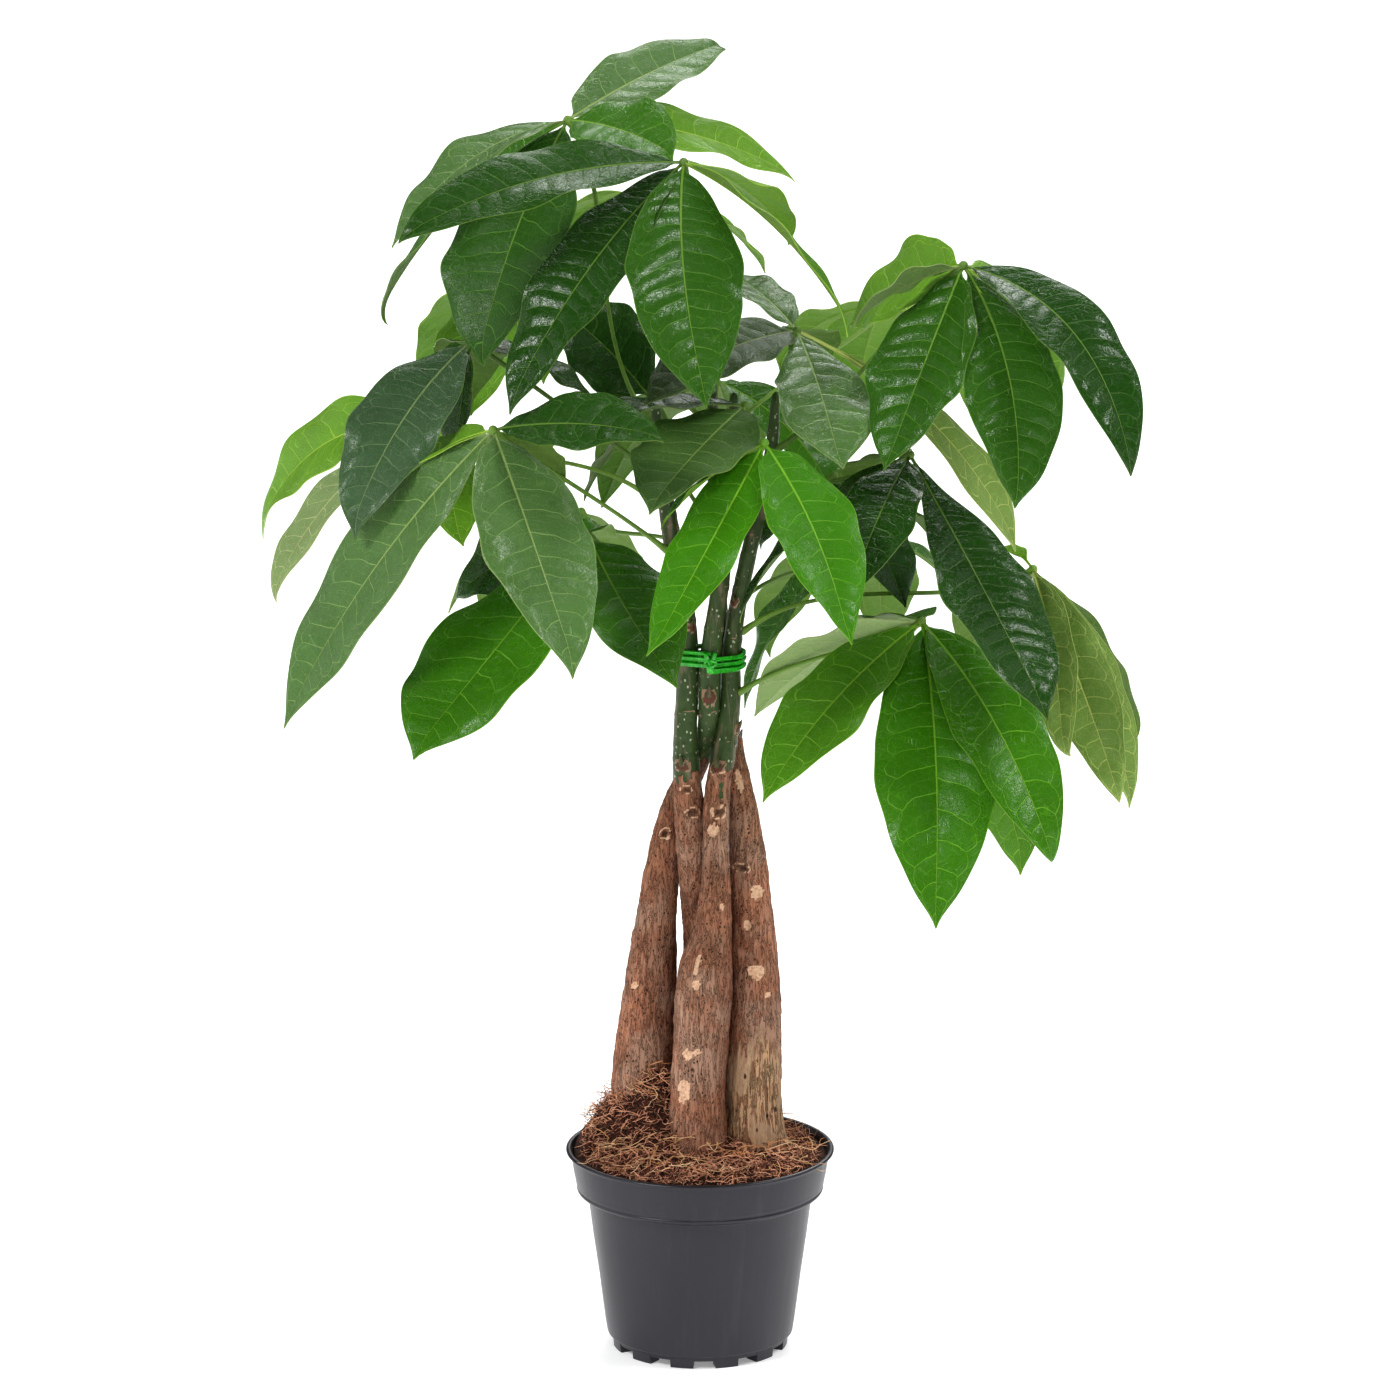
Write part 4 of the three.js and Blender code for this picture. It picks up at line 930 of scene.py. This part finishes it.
def make_fibres():
    bed = Gathered()
    bed.add_grid(soil_top_grid(FIBRE_BED_RINGS, FIBRE_BED_SECTORS)[2:], cap_start=False)
    carrier = bed.to_object("fibre_bed", [])
    emitter = carrier.data
    bpy.data.objects.remove(carrier)
    looks = {name: fibre_material(name, *tints) for name, tints in FIBRE_COLOURS.items()}
    for name, look, *sizes in FIBRES:
        made = scatter_strands(name, emitter, looks[look], dict(zip(FIBRE_INPUTS, sizes)))
        show(made, "coir")


# ---- trunks and shoots ----
def stem_at(stem, heights):
    """A stem's x, y, z and radius at one height or more, read smoothly from its table."""
    rows = np.array(STEMS[stem], float)
    z = rows[:, 2]
    slope = np.gradient(rows, z, axis=0)
    index = np.clip(np.searchsorted(z, heights, side="right") - 1, 0, len(z) - 2)
    width = (z[index + 1] - z[index])[..., None]
    t = (heights - z[index])[..., None] / width
    h00, h10 = 2 * t**3 - 3 * t**2 + 1, t**3 - 2 * t**2 + t
    h01, h11 = -2 * t**3 + 3 * t**2, t**3 - t**2
    return (h00 * rows[index] + h10 * width * slope[index]
            + h01 * rows[index + 1] + h11 * width * slope[index + 1])


def make_stem(number, material):
    low, high = STEMS[number][0][2], STEMS[number][-1][2]
    heights = np.concatenate([np.arange(low, SHOOT_START, TRUNK_RING_STEP),
                              np.arange(SHOOT_START, high, SHOOT_RING_STEP), [high]])
    path = stem_at(number, heights)
    radius = path[:, 3:]
    turn = turns(STEM_SIDES)
    out = around(1.0, turn)
    centre = stacked(path[:, 0], path[:, 1], heights)[:, None]
    heights = heights[:, None]
    surface = centre + radius[..., None] * out
    tall = surface * (1.0, 1.0, 0.14)
    bark_rows = smooth_step(GREEN_FROM[number] + 8, GREEN_FROM[number] - 20, heights)
    lumps = 0.5 * fractal(surface, 0.045, 3, number + 1)
    grooves = 0.52 * fractal(tall, 0.42, 4, number + 11) * bark_rows
    ripples = 0.18 * fractal(surface, 0.5, 3, number + 21)
    relief = lumps * np.minimum(radius / 12, 1) + grooves + ripples
    ragged = 16 * fractal(surface * (1.0, 1.0, 0.6), 0.11, 3, number + 31)
    green = smooth_step(-6, 6, heights - GREEN_FROM[number] + ragged)
    peeled, scar, eye, bud = np.zeros((4, *green.shape))
    if number == PEELED_STEM:
        ragged = 14 * fractal(tall, 0.25, 3, 41)
        peeled = smooth_step(8, -8, heights - PEELED_TO + ragged)
        relief += 0.5 * peeled * fractal(tall * (1.0, 1.0, 0.6), 0.5, 3, 43)
    wobble = 0.34 * fractal(surface, 0.3, 4, number + 51)

    def marks(table):
        """How far all points lie from each mark of this stem: 0 in its middle, 1 at its edge."""
        for stem, height, angle, width, tall in table:
            if stem == number:
                aside = (turn - math.radians(angle) + math.pi) % TURN - math.pi
                across = aside * radius / (width / 2)
                up = (heights - height) / (tall / 2)
                yield np.sqrt(across**2 + up**2) + wobble

    def band(near, outside, outer, inside, inner):
        """A ring about a mark, which fades outwards and inwards."""
        return smooth_step(outside, outer, near) * smooth_step(inside, inner, near)

    for near in marks(PALE_SCARS):
        scar = np.maximum(scar, smooth_step(1.03, 0.95, near))
        relief += 0.35 * band(near, 1.5, 1.05, 0.85, 1.05) - 0.45 * smooth_step(1.0, 0.75, near)
    for near in marks(BARK_EYES):
        relief += 0.8 * band(near, 1.9, 1.1, 0.5, 1.0) - 0.8 * smooth_step(0.9, 0.5, near)
        eye = np.maximum(eye, 0.75 * smooth_step(0.8, 0.5, near))
        scar = np.maximum(scar, 0.75 * band(near, 1.5, 1.25, 0.85, 1.05))
    for near in marks(BUDS):
        relief += 1.1 * smooth_step(1.6, 0.7, near)
        bud = np.maximum(bud, 0.9 * smooth_step(1.0, 0.7, near))
        scar = np.maximum(scar, band(near, 1.5, 1.2, 0.9, 1.1))
    # Rings at the nodes of the green shoot.
    for height in np.arange(GREEN_FROM[number] + 6 + 7 * number, high - 20, 27 + 3 * number):
        ring = np.exp(-(((heights - height + 1.6 * np.sin(turn * 2 + number)) / 1.4) ** 2))
        relief += 0.35 * ring * green
        scar = np.maximum(scar, 0.55 * ring * green * (wobble > -0.03))
    tip = np.sqrt(np.clip((high - heights) / 3.0, 0, 1))
    grown = radius * np.maximum(tip, 0.12) + np.minimum(relief, RELIEF_LIMIT) * tip
    piece = Gathered("bark_state", "bark_mark")
    piece.add_grid(centre + grown[..., None] * out, bark_state=stacked(green, scar, peeled),
                   bark_mark=stacked(eye, bud, 0.0))
    for stem, height, angle, wide, _ in BUDS:
        if stem == number:
            add_bud(piece, stem, height, math.radians(angle), wide)
    made = piece.to_object("trunk_%d" % (number + 1), [material], sharp=60)
    show(made, "bark", "stem_%d" % (number + 1))


def add_bud(piece, stem, height, angle, wide):
    """A small pointed bud that leans out and up from its leaf scar."""
    x, y, z, radius = stem_at(stem, height)
    out = around(1.0, angle)
    share = np.linspace(0, 1, 9)
    path = (x, y, z) + out * (radius - 0.6) + np.outer(share * wide * 0.55, out)
    path[:, 2] += share**1.3 * wide * 1.1
    radii = wide * 0.24 * np.sqrt(np.clip(1 - share, 0.004, 1))
    radii = radii * (0.8 + 0.5 * np.sin(math.pi * share))
    piece.add_grid(tube_grid(path, radii, 10), bark_state=(1.0, 0.0, 0.0),
                   bark_mark=(0.0, 0.25, 0.0))


# ---- tie ----
def hull_point(angle, height, offset):
    """The tightest loop round the four stems, offset outwards, in the direction of an angle."""
    out = np.array((math.cos(angle), math.sin(angle)))
    best = max((stem_at(index, height) for index in range(len(STEMS))),
               key=lambda row: row[:2].dot(out) + row[3])
    return np.array((*(best[:2] + (best[3] + offset) * out), height))


def make_tie():
    tie = Gathered()
    knot = math.radians(KNOT_ANGLE)
    path = []
    for step in range(TIE_TURNS * TIE_STEPS + 1):
        angle = knot + TURN * step / TIE_STEPS
        rise = TIE_PITCH * step / TIE_STEPS + 0.5 * math.sin(angle * 2 + 1.0)
        path.append(hull_point(angle, TIE_HEIGHT + rise, TIE_GAP))
    index = np.arange(len(path))
    radii = TIE_RADIUS * (1 + 0.12 * np.sin(0.37 * index) + 0.1 * np.sin(0.11 * index))
    tie.add_grid(tube_grid(path, radii, 16, 5, 0.16, 0.11))
    middle = hull_point(knot, TIE_HEIGHT + TIE_TURNS * TIE_PITCH / 2, KNOT_GAP)
    share = np.linspace(0, 1, 24)[:, None]
    slim = 1.55 * np.sqrt(np.clip(1.02 - (2 * share[:, 0] - 1) ** 4, 0.02, 1))
    for sideways, inward, rise, forward in ((-4, -0.4, 6.5, 0.2), (3.5, 0.5, 7, 0.4)):
        start = middle + (-sideways * 0.4, inward, -rise)
        end = middle + (sideways, -forward, rise)
        over = 2 * share * (1 - share) * (middle + (0, -1.2, 0))
        bend = (1 - share) ** 2 * start + over + share**2 * end
        tie.add_grid(tube_grid(bend, slim, 14, 4, 0.18, 0.25))
    turn = turns(40)
    loop = middle + stacked(3.1 * np.cos(turn), -0.6 - 1.1 * np.abs(np.sin(turn)),
                            1.9 * np.sin(turn))
    ring = tube_grid(np.concatenate([loop, loop[:2]]), [1.0] * 42, 12, 4, 0.2, 0.3)[1:-1]
    tie.add_grid(np.concatenate([ring, ring[:1]]), cap_start=False, cap_end=False)
    show(tie.to_object("tie_band", [tie_material()], sharp=60), "tie_tape", "tie")


# ---- leaves ----
def blade_frame(hub, leaflet, share):
    """Midrib points with the blade's directions along, across and up, as in the part's source."""
    a, d = math.radians(leaflet.azimuth), math.radians(leaflet.droop)
    roll = math.radians(leaflet.roll)
    ahead = np.array((math.cos(d) * math.cos(a), math.cos(d) * math.sin(a), -math.sin(d)))
    above = np.array((math.sin(d) * math.cos(a), math.sin(d) * math.sin(a), math.cos(d)))
    left = np.array((-math.sin(a), math.cos(a), 0.0))
    curve = (above * leaflet.arch + left * leaflet.bend) * leaflet.length
    u = share[:, None]
    point = np.asarray(hub) + ahead * leaflet.length * u + curve * 4 * u * (1 - u)
    along = unit(ahead * leaflet.length + curve * 4 * (1 - 2 * u))
    flat = unit(left - along * (along @ left)[:, None])
    across = flat * math.cos(roll) + np.cross(along, flat) * math.sin(roll)
    return point, along, across, np.cross(along, across)


def blade_half_width(leaflet, share, seed):
    skew = math.log(0.5) / math.log(leaflet.widest)
    swell = np.maximum(np.sin(math.pi * share**skew), 0)
    half = leaflet.width / 2 * swell**BLADE_FULLNESS
    half *= 1 - 0.42 * np.exp(-((1 - share) / 0.055) ** 2)  # drawn-out tip
    half *= smooth_step(2.0, 15.0, share * leaflet.length)  # narrow neck
    half *= 1 + 0.018 * np.sin(share * 21 + seed) + 0.012 * np.sin(share * 37 + 2 * seed)
    return np.maximum(half, np.where(share < 0.3, 1.1, 0.35))


def add_leaflet(piece, hub, leaflet, number, hook):
    """A closed blade: each row runs along its underside and back along its upper side."""
    length, tone = leaflet.length, TONES[leaflet.tone]
    seed = leaflet.azimuth * 0.013 + number * 2.1 + length * 0.07
    start = BLADE_START / length
    share = np.linspace(0, 1, STATIONS)
    share = start + (1 - start) * (share + 0.06 * np.sin(TURN * share) / 2)
    point, along, across, normal = blade_frame(hub, leaflet, share)
    u = share[:, None]
    side, off, half = SIDE_SHARES, np.abs(SIDE_SHARES), np.sign(SIDE_SHARES)
    wide = blade_half_width(leaflet, share, seed)[:, None]
    # The quilting swells between the side veins, which run as in the leaf's materials.
    count = length / tone.spacing
    wander = 0.2 * np.sin(u * 9 + seed) + 0.12 * np.sin(u * 17 + 2 * seed)
    wander = wander + 0.2 * side * np.sin(u * 6 + seed)
    vein = u * count - VEIN_LEAN * off * wide / (length / count) - VEIN_SWEEP * off**3
    quilt = np.abs(np.sin(math.pi * (vein + wander + VEIN_OFFSET * half)))
    quilt *= smooth_step(0.02, 0.14, off) * smooth_step(1.0, 0.7, off)
    quilt *= 0.7 * tone.depth * np.minimum(wide / 22, 1)
    # The halves fold up from the midrib and wave; the margins ripple and hang.
    wave = WAVE_HEIGHT * np.sin(TURN * WAVE_COUNT * u + leaflet.azimuth + length)
    fold = np.sqrt(off**2 + 0.006) - math.sqrt(0.006)
    ripple = np.sin(TURN * (3.4 + 0.3 * np.sin(seed)) * u + seed + 1.5 * half)
    lift = fold * (BLADE_FOLD + side * wave) + 0.07 * off**3 * ripple - 0.07 * off**4
    lift = wide * (lift + 0.04 * off * np.sin(13 * u + 2 * seed + 2.5 * side)) + quilt
    # The tip droops, leans aside and hooks back.
    tip = (np.clip((share - 0.86) / 0.14, 0, 1) ** 2)[:, None]
    point = point - normal * tip * (2.4 + 2.0 * math.sin(seed * 3) + hook)
    point = point - along * 0.8 * hook * tip**2 + across * tip * 3.0 * math.sin(seed * 5)
    groove = np.exp(-((side * wide / 0.9) ** 2)) * (1 - 0.7 * u)
    surface = point[:, None] + across[:, None] * (side * wide)[..., None]
    above = lift + BLADE_THICKNESS / 2 - 0.3 * groove
    below = lift - BLADE_THICKNESS / 2 - 0.95 * groove
    upper, lower = (surface + normal[:, None] * level[..., None] for level in (above, below))

    def mirrored(grid):
        return np.concatenate([grid, grid[:, ::-1]], axis=1)

    columns = len(SIDE_SHARES)
    tones = np.repeat([tone.under, tone.upper], columns, axis=0)
    piece.add_grid(
        np.concatenate([lower, upper[:, ::-1]], axis=1),
        slot=[1] * (columns - 1) + [0] * (columns + 1),
        leaf_place=mirrored(stacked(u * length / 10, side * wide / 10, side)),
        leaf_form=mirrored(stacked(u, count, wander)),
        leaf_tone=np.broadcast_to(tones, (STATIONS, *tones.shape)),
        leaf_finish=(tone.gloss, tone.clear, tone.depth))


def add_stalk(piece, stem, foot_height, hub, tone):
    x, y, z, radius = stem_at(stem, foot_height)
    hub = np.asarray(hub, float)
    out = unit(np.array((hub[0] - x, hub[1] - y, 0.0)))
    foot = (x, y, z) + out * (radius + 0.4)
    span = np.linalg.norm(hub - foot)
    rise = foot + out * 0.3 * span + (0, 0, 0.22 * span)
    reach = hub - out * 0.22 * span - (0, 0, 0.16 * span)
    share = np.linspace(0, 1, STALK_STEPS)
    t = share[:, None]
    path = (1 - t) ** 3 * foot + 3 * t * (1 - t) ** 2 * rise + 3 * t**2 * (1 - t) * reach
    path = path + t**3 * hub
    radii = 1.25 + 1.3 * np.exp(-14 * share) + 0.5 * share**2
    radii = radii + 1.0 * np.exp(-((1 - share) * span / 7) ** 2)
    # The stalk starts inside its stem.
    path = np.concatenate([[(x, y, z) + out * radius * 0.4], path])
    radii = np.concatenate([radii[:1], radii])
    piece.add_grid(tube_grid(path, radii, STALK_SIDES), slot=2, leaf_tone=tone)
    polar = np.linspace(0.02, math.pi - 0.02, 11)[:, None]
    knob = around(KNOB_RADIUS * np.sin(polar), turns(16), -KNOB_HALF_HEIGHT * np.cos(polar))
    piece.add_grid(knob + hub, slot=2, leaf_tone=tone)


def make_leaf(name, finish, hub, stem, foot_height, leaflets, materials):
    piece = Gathered("leaf_place", "leaf_form", "leaf_tone", "leaf_finish")
    for number, row in enumerate(leaflets):
        add_leaflet(piece, hub, Leaflet(*row), number, HOOKED_TIPS.get((name, number), 0))
    add_stalk(piece, stem, foot_height, hub, STALK_TONES[finish])
    show(piece.to_object(name + "_blades", materials, sharp=70), finish, name)


# ---- build ----
make_pot()
make_soil()
make_fibres()
bark = bark_material()
for stem_number in range(len(STEMS)):
    make_stem(stem_number, bark)
make_tie()
leaf_materials = [leaf_upper_material(), leaf_under_material(), leaf_stalk_material()]
for leaf in LEAVES:
    make_leaf(*leaf, leaf_materials)


# ---- room, light and camera ----
FLOOR_REACH = 6.0
LIGHT_AIM = Vector((0, 0, 0.4))
# Far, wide lamps light the floor evenly and show as soft patches in the gloss: name, place, how
# many degrees wide and how strong.
LIGHTS = [
    ("key_left", (-1.5, -1.2, 2.2), 17, 1.5),
    ("top_right", (1.3, -0.4, 2.4), 17, 1.25),
    ("back_glow", (0.3, 2.2, 2.2), 30, 1.0),
    ("low_front", (0.7, -3.0, 0.9), 34, 0.5),
    ("side_left", (-3.0, 0.5, 1.2), 50, 0.6),
    ("side_right", (3.0, 0.7, 1.3), 50, 0.4),
]
CAMERA_PLACE = (0.0, -4.5, 1.523)
CAMERA_PITCH = 13.75  # degrees down
CAMERA_LENS, CAMERA_SENSOR = 190.3, 36.0

pale_floor = Look("pale floor", Roughness=0.85, Base_Color=(0.93, 0.93, 0.93),
                  Emission_Color=(1.0, 1.0, 1.0), Emission_Strength=0.22)
floor_mesh = bpy.data.meshes.new("studio_floor")
corners = [(FLOOR_REACH * x, FLOOR_REACH * y, 0) for x, y in ((-1, -1), (1, -1), (1, 1), (-1, 1))]
floor_mesh.from_pydata(corners, [], [(0, 1, 2, 3)])
floor_mesh.materials.append(pale_floor.material)
placed("studio_floor", floor_mesh)

for lamp_name, lamp_place, spread, strength in LIGHTS:
    lamp_data = bpy.data.lights.new(lamp_name, "SUN")
    lamp_data.angle, lamp_data.energy = math.radians(spread), strength
    lamp = placed(lamp_name, lamp_data)
    lamp.location = lamp_place
    lamp.rotation_euler = (LIGHT_AIM - Vector(lamp_place)).to_track_quat("-Z", "Y").to_euler()

world = bpy.data.worlds.new("studio")
world.use_nodes = True
studio = Wiring(world.node_tree)
fill = next(node for node in world.node_tree.nodes if node.type == "BACKGROUND").inputs
fill["Color"].default_value = (0.95, 0.97, 1.0, 1.0)
rays = studio.fields(world.node_tree.nodes.new("ShaderNodeLightPath").outputs)
# The room lights softly all round, but stays dark in the gloss of the leaves.
room = 0.3 - rays["Is Glossy Ray"] * 0.22
studio.feed(fill["Strength"], room + rays["Is Camera Ray"] * 0.75)
scene = bpy.context.scene
scene.world = world
scene.view_settings.view_transform = "Standard"
scene.view_settings.look = "Medium High Contrast"

camera_data = bpy.data.cameras.new("photo_camera")
camera_data.lens, camera_data.sensor_width = CAMERA_LENS, CAMERA_SENSOR
camera = placed("photo_camera", camera_data)
camera.location = CAMERA_PLACE
camera.rotation_euler = (math.radians(90 - CAMERA_PITCH), 0.0, 0.0)
scene.camera = camera

bpy.context.view_layer.update()
